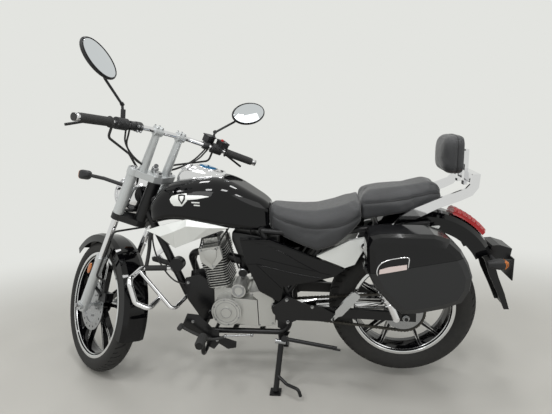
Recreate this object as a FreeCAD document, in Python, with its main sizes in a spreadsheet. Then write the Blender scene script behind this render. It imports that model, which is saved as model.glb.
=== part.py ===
import FreeCAD, Part
import Sketcher
import math
import os

# Cruiser motorcycle on its centre stand, with the steering turned to its right stop.
# Millimetres. +X is forward, +Y is the rider's left, +Z is up. The origin lies on the
# floor, on the middle plane, midway between the two feet of the centre stand.
# Everything that steers is drawn straight ahead and is then turned about the steering axis.

Vector = FreeCAD.Vector
doc = FreeCAD.newDocument("Motorcycle")

# Driving sizes: name, value, meaning
SIZES = [
    ("rear_axle_x", -535, "rear axle ahead of the stand's feet, negative is behind"),
    ("wheelbase", 1400, "between the two axles with the steering straight"),
    ("rear_lift", 23, "rear tyre above the floor while the stand is down"),
    ("rear_tyre_radius", 305, "outside of the 130/90-15 tyre"),
    ("rear_tyre_width", 130, "widest point of the rear tyre"),
    ("rear_crown_radius", 72, "section radius of the rear tread"),
    ("rear_lip_radius", 214, "outside of the rear rim's lip"),
    ("front_tyre_radius", 309, "outside of the 90/90-18 tyre"),
    ("front_tyre_width", 90, "widest point of the front tyre"),
    ("front_crown_radius", 46, "section radius of the front tread"),
    ("front_lip_radius", 246, "outside of the front rim's lip"),
    ("rim_wall", 7, "thickness of the cast rim"),
    ("spoke_count", 5, "pairs of spokes in each wheel"),
    ("spoke_width", 12, "each arm of a forked spoke"),
    ("axle_radius", 7.5, "both wheel axles"),
    ("bar_corner", 96, "inner bend of the handlebar from the middle plane"),
    ("running_fit", 0.05, "radial play of a turning fit"),
    ("seat_gap", 0.3, "play between pieces that seat on each other"),
    ("moving_gap", 6, "play beside a piece that moves"),
    ("rake", 28, "steering axis from the vertical, degrees"),
    ("fork_offset", 45, "fork tubes ahead of the steering axis"),
    ("fork_half_width", 86, "each fork tube from the middle plane"),
    ("fork_tube_radius", 15.5, "chromed inner tube"),
    ("slider_radius", 22, "cast lower leg"),
    ("slider_top", 268, "top of the lower leg above the axle, along the fork"),
    ("dust_ring", 2.5, "dust ring's edge beyond the lower leg"),
    ("cover_radius", 23, "silver shroud between the yokes"),
    ("lower_yoke_height", 486, "middle of the lower yoke above the axle, along the fork"),
    ("upper_yoke_height", 703, "middle of the upper yoke above the axle, along the fork"),
    ("yoke_thick", 28, "both yokes"),
    ("stem_radius", 13, "steering stem"),
    ("head_tube_radius", 27, "outside of the steering head"),
    ("steering_lock", 41.8, "steering from straight to its stop, degrees"),
    ("bar_radius", 11, "handlebar tube"),
    ("bar_height", 900, "handlebar above the axle, along the fork"),
    ("bar_half_width", 400, "half of the handlebar, to the tube's end"),
    ("grip_inner", 272, "inner end of each grip from the middle plane"),
    ("grip_radius", 16.5, "outside of the rubber grip"),
    ("riser_half_width", 54, "each handlebar riser from the middle plane"),
    ("lamp_radius", 84, "outside of the headlamp"),
    ("lamp_drop", 143, "headlamp's centre below the upper yoke, along the fork"),
    ("lamp_play", 5.4, "between the headlamp's bowl and the yokes' front edge"),
    ("frame_tube_radius", 15, "main tubes"),
    ("rail_half_width", 94, "seat rails and cradle from the middle plane"),
    ("pivot_x", -20, "swingarm pivot"),
    ("pivot_z", 357, "swingarm pivot"),
    ("arm_half_width", 122, "swingarm's arm, middle plane to the arm's middle"),
    ("arm_half_thick", 7, "half of each arm across"),
    ("stand_pivot_x", -26, "centre stand pivot"),
    ("stand_pivot_z", 205, "centre stand pivot"),
    ("stand_half_top", 118, "stand's leg at its pivot"),
    ("stand_half_foot", 182, "stand's foot"),
    ("side_stand_lean", 26, "side stand's bolt from level, degrees"),
    ("side_stand_length", 216, "side stand from its bolt to its foot"),
    ("bag_inner", 172, "inside face of each saddlebag from the middle plane"),
    ("bag_outer", 330, "outside face of each saddlebag"),
    ("bag_wall", 4, "moulded wall of the saddlebags"),
    ("lid_gap", 1, "slit between a saddlebag and its lid"),
    ("tank_half_width", 146, "fuel tank at its widest"),
    ("tank_top", 907, "top of the fuel tank"),
    ("seat_half_width", 150, "rider's seat at its widest"),
    ("pillion_half_width", 114, "passenger's seat at its widest"),
    ("rail_bar_thick", 12, "cast grab rail across"),
    ("engine_half_width", 66, "crankcase without its covers"),
    ("barrel_half", 46, "finned barrel, half of its side"),
    ("fin_pitch", 11, "between two cooling fins"),
    ("fin_thick", 3, "one cooling fin"),
    ("alternator_radius", 64, "round left engine cover"),
    ("clutch_radius", 78, "round right engine cover"),
    ("mudguard_gap", 26, "between the front tyre and its mudguard"),
    ("mudguard_wall", 3, "both mudguards"),
    ("rear_guard_radius", 298.5, "outside of the rear mudguard"),
    ("rear_guard_half", 78, "half of the rear mudguard's width"),
    ("plate_hole_half", 62, "number plate bolts from the middle plane"),
    ("plate_hole_radius", 3, "number plate bolt holes"),
    ("sprocket_radius", 85, "rear sprocket at its chain line"),
    ("front_sprocket_radius", 32, "engine sprocket at its chain line"),
    ("chain_y", 78, "chain from the middle plane"),
    ("chain_half", 6, "half of the chain's height"),
    ("chain_play", 0.6, "between the chain and its sprocket"),
    ("disc_radius", 118, "front brake disc"),
    ("disc_holes", 18, "drilled round the brake disc"),
    ("muffler_radius", 44, "silencer at its thickest"),
    ("muffler_length", 560, "silencer from the pipe to its tail"),
    ("guard_tube_radius", 11, "crash bar tube"),
]


class Size(float):
    """A number of the sheet, or one worked out from it, with its expression."""

    def __new__(cls, value, text):
        size = super().__new__(cls, value)
        size.text = text
        return size

    def __add__(self, other):
        return Size(float(self) + float(other), "(%s + %s)" % (self.text, text_of(other)))

    def __sub__(self, other):
        return Size(float(self) - float(other), "(%s - %s)" % (self.text, text_of(other)))

    def __mul__(self, other):
        return Size(float(self) * float(other), "(%s * %s)" % (self.text, text_of(other)))

    def __truediv__(self, other):
        return Size(float(self) / float(other), "(%s / %s)" % (self.text, text_of(other)))

    def __neg__(self):
        return Size(-float(self), "(0 - %s)" % self.text)


def text_of(number):
    return number.text if isinstance(number, Size) else repr(float(number))


class Sizes:
    """The sheet's values by name."""


sheet = doc.addObject("Spreadsheet::Sheet", "Sizes")
s = Sizes()
for row, (name, value, meaning) in enumerate(SIZES, start=1):
    sheet.set("A%d" % row, name)
    sheet.set("B%d" % row, str(value))
    sheet.set("C%d" % row, meaning)
    sheet.setAlias("B%d" % row, name)
doc.recompute()
for name, value, meaning in SIZES:
    setattr(s, name, Size(float(sheet.get(name)), "Sizes." + name))

# Shapes by Part's own functions


def rod(start, end, radius):
    along = end - start
    return Part.makeCylinder(float(radius), along.Length, start, along)


def block(x, y, z):
    """A box from three pairs of limits."""
    return Part.makeBox(x[1] - x[0], y[1] - y[0], z[1] - z[0], Vector(x[0], y[0], z[0]))


def wire_path(points, bend):
    """Straight runs joined by tangent arcs of one radius."""
    edges = []
    start = points[0]
    for before, corner, after in zip(points, points[1:], points[2:]):
        back = (before - corner).normalize()
        ahead = (after - corner).normalize()
        half = back.getAngle(ahead) / 2
        reach = bend / math.tan(half)
        first = corner + back * reach
        last = corner + ahead * reach
        inward = (back + ahead).normalize()
        centre = corner + inward * (bend / math.sin(half))
        middle = centre - inward * bend
        edges.append(Part.LineSegment(start, first).toShape())
        edges.append(Part.Arc(first, middle, last).toShape())
        start = last
    edges.append(Part.LineSegment(start, points[-1]).toShape())
    return Part.Wire(edges)


def bent_rod(points, radius, bend):
    """A round bar along straight runs and arcs."""
    path = wire_path([Vector(*p) for p in points], bend)
    along = path.Edges[0].tangentAt(path.Edges[0].FirstParameter)
    start = path.Edges[0].valueAt(path.Edges[0].FirstParameter)
    circle = Part.Wire(Part.makeCircle(float(radius), start, along))
    return path.makePipeShell([circle], True, False)


def prism(points, thickness):
    """A closed polygon pushed along a vector."""
    corners = [Vector(*p) for p in points]
    face = Part.Face(Part.makePolygon(corners + corners[:1]))
    return face.extrude(Vector(*thickness))


def side_plate(outline, y_low, y_high):
    """An outline of (x, z) points pushed across from y_low to y_high."""
    return prism([(x, y_low, z) for x, z in outline], (0, y_high - y_low, 0))


def section(x, y_low, y_high, z_low, z_high, low_radius, high_radius):
    """A rounded rectangle across the machine, with its own radii below and above."""
    corners = [(y_high, z_low, low_radius, -90), (y_high, z_high, high_radius, 0),
               (y_low, z_high, high_radius, 90), (y_low, z_low, low_radius, 180)]
    arcs = []
    for y, z, radius, angle in corners:
        cy = y - radius if y == y_high else y + radius
        cz = z - radius if z == z_high else z + radius
        ends = []
        for turn in (0, 45, 90):
            a = math.radians(angle + turn)
            ends.append(Vector(x, cy + radius * math.cos(a), cz + radius * math.sin(a)))
        arcs.append(ends)
    edges = []
    for ends, following in zip(arcs, arcs[1:] + arcs[:1]):
        edges.append(Part.Arc(*ends).toShape())
        edges.append(Part.LineSegment(ends[2], following[0]).toShape())
    return Part.Wire(edges)


def loft(sections):
    return Part.makeLoft(sections, True, False)


def fuse(shapes):
    return shapes[0].multiFuse(shapes[1:]).removeSplitter()


def mirrored(shape):
    return shape.mirror(Vector(0, 0, 0), Vector(0, 1, 0))


def both_sides(shape):
    return [shape, mirrored(shape)]


def ring_sector(profile, centre, start, sweep):
    """A profile of (radius, y) points swung about a crosswise axis through centre.

    Angles count from straight ahead, upwards."""
    corners = [Vector(centre.x + r, y, centre.z) for r, y in profile]
    face = Part.Face(Part.makePolygon(corners + corners[:1]))
    face.rotate(centre, Vector(0, -1, 0), start)
    return face.revolve(centre, Vector(0, -1, 0), sweep)


# Sub-parts

PARTS = []


def keep(label, shape, placement=None):
    """A sub-part whose shape is set directly."""
    part = doc.addObject("Part::Feature", label)
    part.Shape = shape
    if placement is not None:
        part.Placement = placement.multiply(part.Placement)
    part.Label = label
    PARTS.append(part)
    return part


def draw(body, role, outline):
    """A closed outline on one of the body's planes, each corner bound to the sheet."""
    sketch = body.newObject("Sketcher::SketchObject", body.Name + "Outline")
    plane = [f for f in body.Origin.OriginFeatures if f.Role == role][0]
    sketch.AttachmentSupport = (plane, [""])
    sketch.MapMode = "FlatFace"
    count = len(outline)
    points = [Vector(float(a), float(b), 0) for a, b in outline]
    for i in range(count):
        sketch.addGeometry(Part.LineSegment(points[i], points[(i + 1) % count]), False)
    for i in range(count):
        sketch.addConstraint(Sketcher.Constraint("Coincident", i, 2, (i + 1) % count, 1))
    for i, corner in enumerate(outline):
        for kind, number in zip(("DistanceX", "DistanceY"), corner):
            rule = Sketcher.Constraint(kind, -1, 1, i, 1, float(number))
            index = sketch.addConstraint(rule)
            if isinstance(number, Size):
                sketch.setExpression("Constraints[%d]" % index, number.text)
    return sketch


def turned_body(name, outline):
    """A body turned about its own Y axis from an outline of (radius, y) corners."""
    body = doc.addObject("PartDesign::Body", name)
    sketch = draw(body, "XY_Plane", outline)
    turn = body.newObject("PartDesign::Revolution", name + "Turn")
    turn.Profile = sketch
    turn.ReferenceAxis = (sketch, ["V_Axis"])
    turn.Angle = 360
    body.Tip = turn
    return body


def padded_body(body, role, outline, thick, name):
    """Adds a pad of an outline, half of it to each side of the plane."""
    sketch = draw(body, role, outline)
    sketch.Label = name + "Outline"
    pad = body.newObject("PartDesign::Pad", name + "Pad")
    pad.Profile = sketch
    pad.SideType = "Symmetric"
    pad.Length = float(thick)
    if isinstance(thick, Size):
        pad.setExpression("Length", thick.text)
    return pad


def ring_of(body, feature, count, name):
    """Repeats a feature evenly about the body's own Y axis."""
    axis = [f for f in body.Origin.OriginFeatures if f.Role == "Y_Axis"][0]
    pattern = body.newObject("PartDesign::PolarPattern", name + "Ring")
    pattern.Originals = [feature]
    pattern.Axis = (axis, [""])
    pattern.Angle = 360
    pattern.Occurrences = int(count)
    if isinstance(count, Size):
        pattern.setExpression("Occurrences", count.text)
    feature.Visibility = False
    body.Tip = pattern
    return pattern


def settle(part, label, point=None, placement=None, direction=None):
    """Names a sub-part and puts its own Y axis on a point, along a direction."""
    turn = FreeCAD.Rotation(Vector(0, 1, 0), direction or Vector(0, 1, 0))
    part.Placement = FreeCAD.Placement(point or Vector(0, 0, 0), turn)
    if placement is not None:
        part.Placement = placement.multiply(part.Placement)
    part.Label = label
    return part


def group(label, members):
    """Several solids of one sub-part."""
    part = doc.addObject("Part::Compound", label)
    part.Links = members
    part.Label = label
    PARTS.append(part)
    return part


def other_side(part):
    """The same piece mirrored in the middle plane."""
    twin = doc.addObject("Part::Mirroring", part.Name + "Right")
    twin.Source = part
    twin.Normal = Vector(0, 1, 0)
    twin.Base = Vector(0, 0, 0)
    return twin


# Steering geometry, with the steering straight ahead

sin_rake = math.sin(math.radians(s.rake))
cos_rake = math.cos(math.radians(s.rake))
UP_FORK = Vector(-sin_rake, 0, cos_rake)
AHEAD = Vector(cos_rake, 0, sin_rake)
front_axle_x = s.rear_axle_x + s.wheelbase


def tyre_low_point(radius, crown, lean):
    """Hub height of a tyre whose axle leans by the given sine, standing on the floor."""
    return (radius - crown) * math.sqrt(1 - lean * lean) + crown


def turn_about(vector, axis, degrees):
    return Rotation(axis, degrees).multVec(vector)


Rotation = FreeCAD.Rotation
steered_axle = turn_about(Vector(0, 1, 0), UP_FORK, -s.steering_lock)
offset_shift = turn_about(AHEAD * s.fork_offset, UP_FORK, -s.steering_lock) - AHEAD * s.fork_offset
standing_height = tyre_low_point(s.front_tyre_radius, s.front_crown_radius, steered_axle.z)
front_axle_z = standing_height - offset_shift.z
STEER_BASE = Vector(front_axle_x, 0, front_axle_z) - AHEAD * s.fork_offset
STEERED = FreeCAD.Placement(Vector(0, 0, 0), Rotation(UP_FORK, -s.steering_lock), STEER_BASE)


def fork(ahead, left, up):
    """A point by its place on the fork: ahead of the steering axis, left, up from the axle."""
    return STEER_BASE + AHEAD * ahead + Vector(0, left, 0) + UP_FORK * up


REAR_HUB = Vector(s.rear_axle_x, 0, s.rear_tyre_radius + s.rear_lift)
FRONT_HUB = fork(s.fork_offset, 0, 0)

# Wheels


def tyre(name, radius, width, crown, lip):
    """A tyre section turned about the axle; the tread is one arc."""
    half = width / 2
    angle = math.asin(min(1, half * 0.94 / crown))
    shoulder = radius - crown + crown * math.cos(angle)
    bead = lip - 4
    foot = lip + s.seat_gap
    inner = half * 0.72
    outer = inner + 7
    edges = [
        Part.Arc(Vector(shoulder, -crown * math.sin(angle), 0), Vector(radius, 0, 0),
                 Vector(shoulder, crown * math.sin(angle), 0)).toShape(),
        Part.Arc(Vector(shoulder, crown * math.sin(angle), 0), Vector((shoulder + bead) / 2, half, 0),
                 Vector(foot, outer, 0)).toShape(),
        Part.LineSegment(Vector(foot, outer, 0), Vector(foot, inner, 0)).toShape(),
        Part.LineSegment(Vector(foot, inner, 0), Vector(bead, inner, 0)).toShape(),
        Part.LineSegment(Vector(bead, inner, 0), Vector(bead, -inner, 0)).toShape(),
        Part.LineSegment(Vector(bead, -inner, 0), Vector(foot, -inner, 0)).toShape(),
        Part.LineSegment(Vector(foot, -inner, 0), Vector(foot, -outer, 0)).toShape(),
        Part.Arc(Vector(foot, -outer, 0), Vector((shoulder + bead) / 2, -half, 0),
                 Vector(shoulder, -crown * math.sin(angle), 0)).toShape(),
    ]
    face = Part.Face(Part.Wire(edges))
    return face.revolve(Vector(0, 0, 0), Vector(0, 1, 0), 360)


def cast_wheel(name, lip, width, hub_radius, hub_half, face):
    """Rim, hub and forked spokes as one casting, turned about its own Y axis."""
    half = width * 0.36 + s.seat_gap
    seat = lip - 4 - s.seat_gap
    bed = seat - s.rim_wall - 10
    bore = s.axle_radius + s.running_fit
    rim_outline = [(seat, -half), (lip, -half), (lip, -half - 5), (lip - 12, -half - 5.5),
                   (bed + 3, -half + 4), (bed, -half * 0.4), (bed, half * 0.4), (bed + 3, half - 4),
                   (lip - 12, half + 5.5), (lip, half + 5), (lip, half), (seat, half)]
    body = turned_body(name, rim_outline)
    hub_outline = [(bore, -hub_half), (hub_radius * 0.5, -hub_half), (hub_radius, -hub_half + 14),
                   (hub_radius - 4, -12), (hub_radius - 4, 12), (hub_radius, hub_half - 14),
                   (hub_radius * 0.5, hub_half), (bore, hub_half)]
    sketch = draw(body, "XY_Plane", hub_outline)
    hub = body.newObject("PartDesign::Revolution", name + "Hub")
    hub.Profile = sketch
    hub.ReferenceAxis = (sketch, ["V_Axis"])
    hub.Angle = 360
    root = hub_radius - 12
    reach = lip * 0.19
    wide = s.spoke_width / 2
    spoke = [(-wide * 2.4, root), (wide * 2.4, root), (reach + wide, bed + 2), (reach - wide, bed + 2),
             (0, hub_radius + 22), (-reach + wide, bed + 2), (-reach - wide, bed + 2)]
    pad = padded_body(body, "XZ_Plane", spoke, face * 2, name + "Spoke")
    ring_of(body, pad, s.spoke_count, name)
    return body


def at(shape, point):
    moved = shape.copy()
    moved.translate(point)
    return moved


keep("rear_tyre", at(tyre("rear_tyre", s.rear_tyre_radius, s.rear_tyre_width, s.rear_crown_radius,
                          s.rear_lip_radius), REAR_HUB))
keep("front_tyre", at(tyre("front_tyre", s.front_tyre_radius, s.front_tyre_width,
                           s.front_crown_radius, s.front_lip_radius), FRONT_HUB), STEERED)
rear_wheel = cast_wheel("RearWheel", s.rear_lip_radius, s.rear_tyre_width, 58, 52, 15)
PARTS.append(settle(rear_wheel, "rear_wheel", REAR_HUB))
front_wheel = cast_wheel("FrontWheel", s.front_lip_radius, s.front_tyre_width, 40, 40, 12)
PARTS.append(settle(front_wheel, "front_wheel", FRONT_HUB, STEERED))

# Sprocket on the rear hub and disc on the front hub
bore = s.axle_radius + s.running_fit
chain_root = s.sprocket_radius - s.chain_half - s.chain_play
sprocket = turned_body("Sprocket", [
    (bore, 52 + s.seat_gap), (42, 52 + s.seat_gap), (42, s.chain_y - 3), (chain_root, s.chain_y - 3),
    (chain_root, s.chain_y + 3), (30, s.chain_y + 3), (24, s.chain_y + 12), (bore, s.chain_y + 12)])
PARTS.append(settle(sprocket, "rear_sprocket", REAR_HUB))
disc = turned_body("BrakeDisc", [
    (bore, 40 + s.seat_gap), (44, 40 + s.seat_gap), (s.disc_radius - 30, 45), (s.disc_radius - 30, 46),
    (s.disc_radius, 46), (s.disc_radius, 50), (s.disc_radius - 34, 50), (s.disc_radius - 34, 47), (40, 44), (bore, 44)])
hole = disc.newObject("Sketcher::SketchObject", "DiscHoleOutline")
hole.AttachmentSupport = ([f for f in disc.Origin.OriginFeatures if f.Role == "XZ_Plane"][0], [""])
hole.MapMode = "FlatFace"
hole.addGeometry(Part.Circle(Vector(0, s.disc_radius - 16, 0), Vector(0, 0, 1), 4.5), False)
hole.addConstraint(Sketcher.Constraint("DistanceY", -1, 1, 0, 3, s.disc_radius - 16))
hole.setExpression("Constraints[0]", (s.disc_radius - 16).text)
hole.addConstraint(Sketcher.Constraint("DistanceX", -1, 1, 0, 3, 0))
hole.addConstraint(Sketcher.Constraint("Radius", 0, 4.5))
drill = disc.newObject("PartDesign::Pocket", "DiscHole")
drill.Profile = hole
drill.Type = "ThroughAll"
drill.SideType = "Symmetric"
ring_of(disc, drill, s.disc_holes, "Disc")
PARTS.append(settle(disc, "brake_disc", FRONT_HUB, STEERED))

# Fork

tubes = []
legs = []
for side in (-1, 1):
    y = side * s.fork_half_width
    tubes.append(rod(fork(s.fork_offset, y, s.slider_top - 80),
                     fork(s.fork_offset, y, s.upper_yoke_height + s.yoke_thick / 2 + 4),
                     s.fork_tube_radius))
    leg = rod(fork(s.fork_offset, y, -24), fork(s.fork_offset, y, s.slider_top), s.slider_radius)
    ring = rod(fork(s.fork_offset, y, s.slider_top - 22), fork(s.fork_offset, y, s.slider_top),
               s.slider_radius + s.dust_ring)
    lug = rod(fork(s.fork_offset, y - 24, 0), fork(s.fork_offset, y + 24, 0), 20)
    bore = rod(fork(s.fork_offset, y, s.slider_top - 80 - s.seat_gap),
               fork(s.fork_offset, y, s.slider_top + 1), s.fork_tube_radius + s.seat_gap)
    eye = rod(fork(s.fork_offset, y - 40, 0), fork(s.fork_offset, y + 40, 0),
              s.axle_radius + s.running_fit)
    legs.append(fuse([leg, ring, lug]).cut(bore).cut(eye))
    cover_low = s.lower_yoke_height + s.yoke_thick / 2 + s.seat_gap
    cover_high = s.upper_yoke_height - s.yoke_thick / 2 - s.seat_gap
    cover = rod(fork(s.fork_offset, y, cover_low), fork(s.fork_offset, y, cover_high), s.cover_radius)
    legs.append(cover.cut(rod(fork(s.fork_offset, y, cover_low - 1),
                              fork(s.fork_offset, y, cover_high + 1),
                              s.fork_tube_radius + s.seat_gap)))
axle_half = s.fork_half_width + 30
legs.append(rod(fork(s.fork_offset, -axle_half, 0), fork(s.fork_offset, axle_half, 0), s.axle_radius))
keep("fork_tubes", Part.makeCompound(tubes), STEERED)
keep("fork_legs", Part.makeCompound(legs), STEERED)


YOKE_WAIST = 8.8


def yoke(height, reach):
    """A flat yoke: a web between two clamp rings, bored for the tubes."""
    low = height - s.yoke_thick / 2
    high = height + s.yoke_thick / 2
    outline = [(-20, 20), (-20, -20), (s.fork_offset - reach, -s.fork_half_width - 10),
               (s.fork_offset + reach, -s.fork_half_width - 10), (s.fork_offset + YOKE_WAIST, 0),
               (s.fork_offset + reach, s.fork_half_width + 10),
               (s.fork_offset - reach, s.fork_half_width + 10)]
    base = [fork(n, y, low) for n, y in outline]
    web = Part.Face(Part.makePolygon(base + base[:1])).extrude(UP_FORK * (high - low))
    shapes = [web]
    for side in (-1, 1):
        y = side * s.fork_half_width
        shapes.append(rod(fork(s.fork_offset, y, low), fork(s.fork_offset, y, high), reach + 4))
    solid = fuse(shapes)
    for side in (-1, 1):
        y = side * s.fork_half_width
        solid = solid.cut(rod(fork(s.fork_offset, y, low - 1), fork(s.fork_offset, y, high + 1),
                              s.fork_tube_radius + s.seat_gap))
    return solid


stem = rod(fork(0, 0, s.lower_yoke_height), fork(0, 0, s.upper_yoke_height + 26), s.stem_radius)
nut = rod(fork(0, 0, s.upper_yoke_height + s.yoke_thick / 2), fork(0, 0, s.upper_yoke_height + 26), 20)
keep("yokes", fuse([yoke(s.lower_yoke_height, 20), yoke(s.upper_yoke_height, 22), stem, nut]), STEERED)

# Handlebar, risers, grips, hand controls and mirrors

bar_points = [fork(-67, -s.bar_half_width, s.bar_height), fork(-18, -s.grip_inner, s.bar_height),
              fork(30, -s.bar_corner, s.bar_height), fork(30, s.bar_corner, s.bar_height),
              fork(-18, s.grip_inner, s.bar_height), fork(-67, s.bar_half_width, s.bar_height)]
keep("handlebar", bent_rod(bar_points, s.bar_radius, 60), STEERED)

risers = []
for side in (-1, 1):
    y = side * s.riser_half_width
    foot = s.upper_yoke_height + s.yoke_thick / 2 + s.seat_gap
    post = Part.makeCone(19, 15, s.bar_height - 8 - foot, fork(30, y, foot), UP_FORK)
    clamp = rod(fork(30, y - 17, s.bar_height), fork(30, y + 17, s.bar_height), 21)
    hole = rod(fork(30, y - 26, s.bar_height), fork(30, y + 26, s.bar_height),
               s.bar_radius + s.seat_gap)
    risers.append(fuse([post.cut(hole), clamp.cut(hole)]))
keep("risers", Part.makeCompound(risers), STEERED)


def along_bar(y):
    """A point of the bar's outer straight run by its distance from the middle plane."""
    share = (y - s.grip_inner) / (s.bar_half_width - s.grip_inner)
    return fork(-18 - 49 * share, y, s.bar_height)


def on_bar(y_from, y_to, radius):
    """A sleeve round the bar's outer run, bored to fit it."""
    sleeve = rod(along_bar(y_from), along_bar(y_to), radius)
    bore = rod(along_bar(y_from - 1), along_bar(y_to + 1), s.bar_radius + s.seat_gap)
    return sleeve.cut(bore)


grip = on_bar(s.grip_inner + s.seat_gap, s.bar_half_width - 1, s.grip_radius)
weight = rod(along_bar(s.bar_half_width + s.seat_gap), along_bar(s.bar_half_width + 18), 14)
keep("grips", Part.makeCompound(both_sides(grip) + both_sides(weight)), STEERED)


def inner_bar(y):
    """A point of the bar's slanting run between the riser and the grip."""
    share = (y - s.bar_corner) / (s.grip_inner - s.bar_corner)
    return fork(30 - 48 * share, y, s.bar_height)


housing = rod(inner_bar(203), inner_bar(250), 23)
housing = housing.cut(rod(inner_bar(196), inner_bar(268), s.bar_radius + s.seat_gap))
lever_root = prism([fork(n, y, s.bar_height - 22) for n, y in
                    ((-10, 222), (26, 222), (40, 262), (22, 268), (-8, 246))], UP_FORK * 16)
lever_root = lever_root.cut(rod(inner_bar(200), inner_bar(268), s.bar_radius + s.seat_gap))
lever = bent_rod([fork(28, 250, s.bar_height - 14), fork(34, 300, s.bar_height - 18),
                  fork(2, 410, s.bar_height - 56)], 5, 40)
control = fuse([housing, lever_root, lever])
# The right control carries the front brake's fluid reservoir, with a lid
tank_base = s.bar_height + s.bar_radius + 4
reservoir = [prism([fork(n, y, tank_base + low) for n, y in
                    ((-30 - lip, -228 + lip), (14 + lip, -228 + lip), (14 + lip, -268 - lip), (-30 - lip, -268 - lip))],
                   UP_FORK * (high - low))
             for lip, low, high in ((0, 0, 26), (1.5, 22, 28))]
right_control = fuse([mirrored(control)] + reservoir)
keep("hand_controls", Part.makeCompound([control, right_control]), STEERED)

mirrors = []
stem_line = bent_rod([fork(26, 214, s.bar_height + 23), fork(45, 222, s.bar_height + 60),
                      fork(56, 310, s.bar_height + 133), fork(52, 330, s.bar_height + 166)], 5, 22)
boot = rod(fork(22, 211, s.bar_height + 8), fork(36, 217, s.bar_height + 46), 9)
long_way = Vector(0, 146, 0) - AHEAD * 8 + UP_FORK * 83
long_way = long_way.normalize()
face_way = (UP_FORK * 0.615 - AHEAD * 0.707 - Vector(0, 0.346, 0)).normalize()
face_way = (face_way - long_way * face_way.dot(long_way)).normalize()
mirror_rows = [(0, 84, 51), (7, 86, 53), (15, 80, 48), (22, 60, 34)]
ovals = [Part.Wire(Part.Ellipse(Vector(0, 0, -back), half_long, half_short).toShape())
         for back, half_long, half_short in mirror_rows]
shell = loft(ovals)
shell.Placement = FreeCAD.Placement(fork(36, 353, s.bar_height + 197),
                                    Rotation(long_way, face_way.cross(long_way), face_way, "ZXY"))
mirror = fuse([stem_line, boot, shell])
boot_bore = rod(inner_bar(180), inner_bar(260), s.bar_radius + s.seat_gap)
mirror = mirror.cut(boot_bore).cut(rod(inner_bar(201), inner_bar(252), 23 + s.seat_gap))
keep("mirrors", Part.makeCompound(both_sides(mirror)), STEERED)

# Front brake hose and the switch leads, which steer with the fork
caliper_at = fork(s.fork_offset - 80, 0, 105)
lever_foot = s.bar_height - 22 - s.seat_gap
hose_line = [fork(30, -240, lever_foot), fork(30, -240, 826), fork(78, -96, 750), fork(78, -96, 424),
             fork(4, 100, 424), fork(4, 100, 190), caliper_at + Vector(0, 57, 70),
             caliper_at + Vector(0, 57, 20 + s.seat_gap)]
keep("brake_hose", bent_rod([tuple(point) for point in hose_line], 4.5, 24), STEERED)
lamp_height = s.upper_yoke_height - s.lamp_drop
yoke_faces = (s.upper_yoke_height - s.yoke_thick / 2, s.lower_yoke_height + s.yoke_thick / 2)
near_yoke = min(yoke_faces[0] - lamp_height, lamp_height - yoke_faces[1])
bowl_reach = math.sqrt(max(0, s.lamp_radius ** 2 - max(0, near_yoke) ** 2))
lamp_ahead = s.fork_offset + YOKE_WAIST + bowl_reach + s.lamp_play
lamp_centre = fork(lamp_ahead, 0, lamp_height)
lead_in = fork(lamp_ahead - 34, 40, lamp_height + 130)
lead_line = [fork(30, 240, lever_foot), fork(30, 240, 826), fork(84, 110, 760), lead_in,
             lamp_centre + (lead_in - lamp_centre) * 0.5]
leads = bent_rod([tuple(point) for point in lead_line], 5, 24)
keep("switch_leads", leads.cut(Part.makeSphere(s.lamp_radius + s.seat_gap, lamp_centre)), STEERED)

# Headlamp and front indicators

lamp_axis = Vector(1, 0, 0)
bowl = Part.makeSphere(s.lamp_radius, lamp_centre)
bowl = bowl.common(block((lamp_centre.x - 74, lamp_centre.x), (-100, 100),
                         (lamp_centre.z - 100, lamp_centre.z + 100)))
rim = Part.makeCylinder(s.lamp_radius + 3, 22, lamp_centre, lamp_axis)
rim = rim.cut(Part.makeCylinder(s.lamp_radius - 6, 30, lamp_centre + Vector(8, 0, 0), lamp_axis))
ears = []
for side in (-1, 1):
    ear = rod(fork(s.fork_offset, side * (s.fork_half_width - s.cover_radius - 4), lamp_height),
              fork(lamp_ahead - 6, side * (s.lamp_radius - 10), lamp_height), 7)
    ears.append(ear)
lamp = fuse([bowl, rim] + ears)
for side in (-1, 1):
    y = side * s.fork_half_width
    lamp = lamp.cut(rod(fork(s.fork_offset, y, lamp_height - 80), fork(s.fork_offset, y, lamp_height + 80),
                        s.cover_radius + s.seat_gap))
keep("headlamp", lamp, STEERED)
lens = Part.makeCylinder(s.lamp_radius - 6 - s.seat_gap, 10,
                         lamp_centre + Vector(8 + s.seat_gap, 0, 0), lamp_axis)
keep("headlamp_lens", lens, STEERED)

for_cover = rod(fork(s.fork_offset, s.fork_half_width, s.lower_yoke_height),
                fork(s.fork_offset, s.fork_half_width, s.upper_yoke_height), s.cover_radius + s.seat_gap)
winker_root = s.upper_yoke_height - 75
winker_at = fork(262, 0, winker_root - 68)
pod = loft([section(x, 182 - half_w, 182 + half_w, -t, t, t * 0.6, t * 0.6)
            for x, half_w, t in ((-52, 7, 6), (-24, 20, 17), (14, 23, 20), (40, 12, 10))])
pod.translate(Vector(winker_at.x, 0, winker_at.z))
stalk = fuse([rod(fork(s.fork_offset + 6, s.fork_half_width + 14, winker_root), fork(150, 150, winker_root - 24), 8),
              rod(fork(148, 149, winker_root - 24), fork(236, 178, winker_root - 56), 8)])
keep("front_indicators", Part.makeCompound(both_sides(fuse([stalk, pod]).cut(for_cover))), STEERED)

# Front mudguard and its stays

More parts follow.
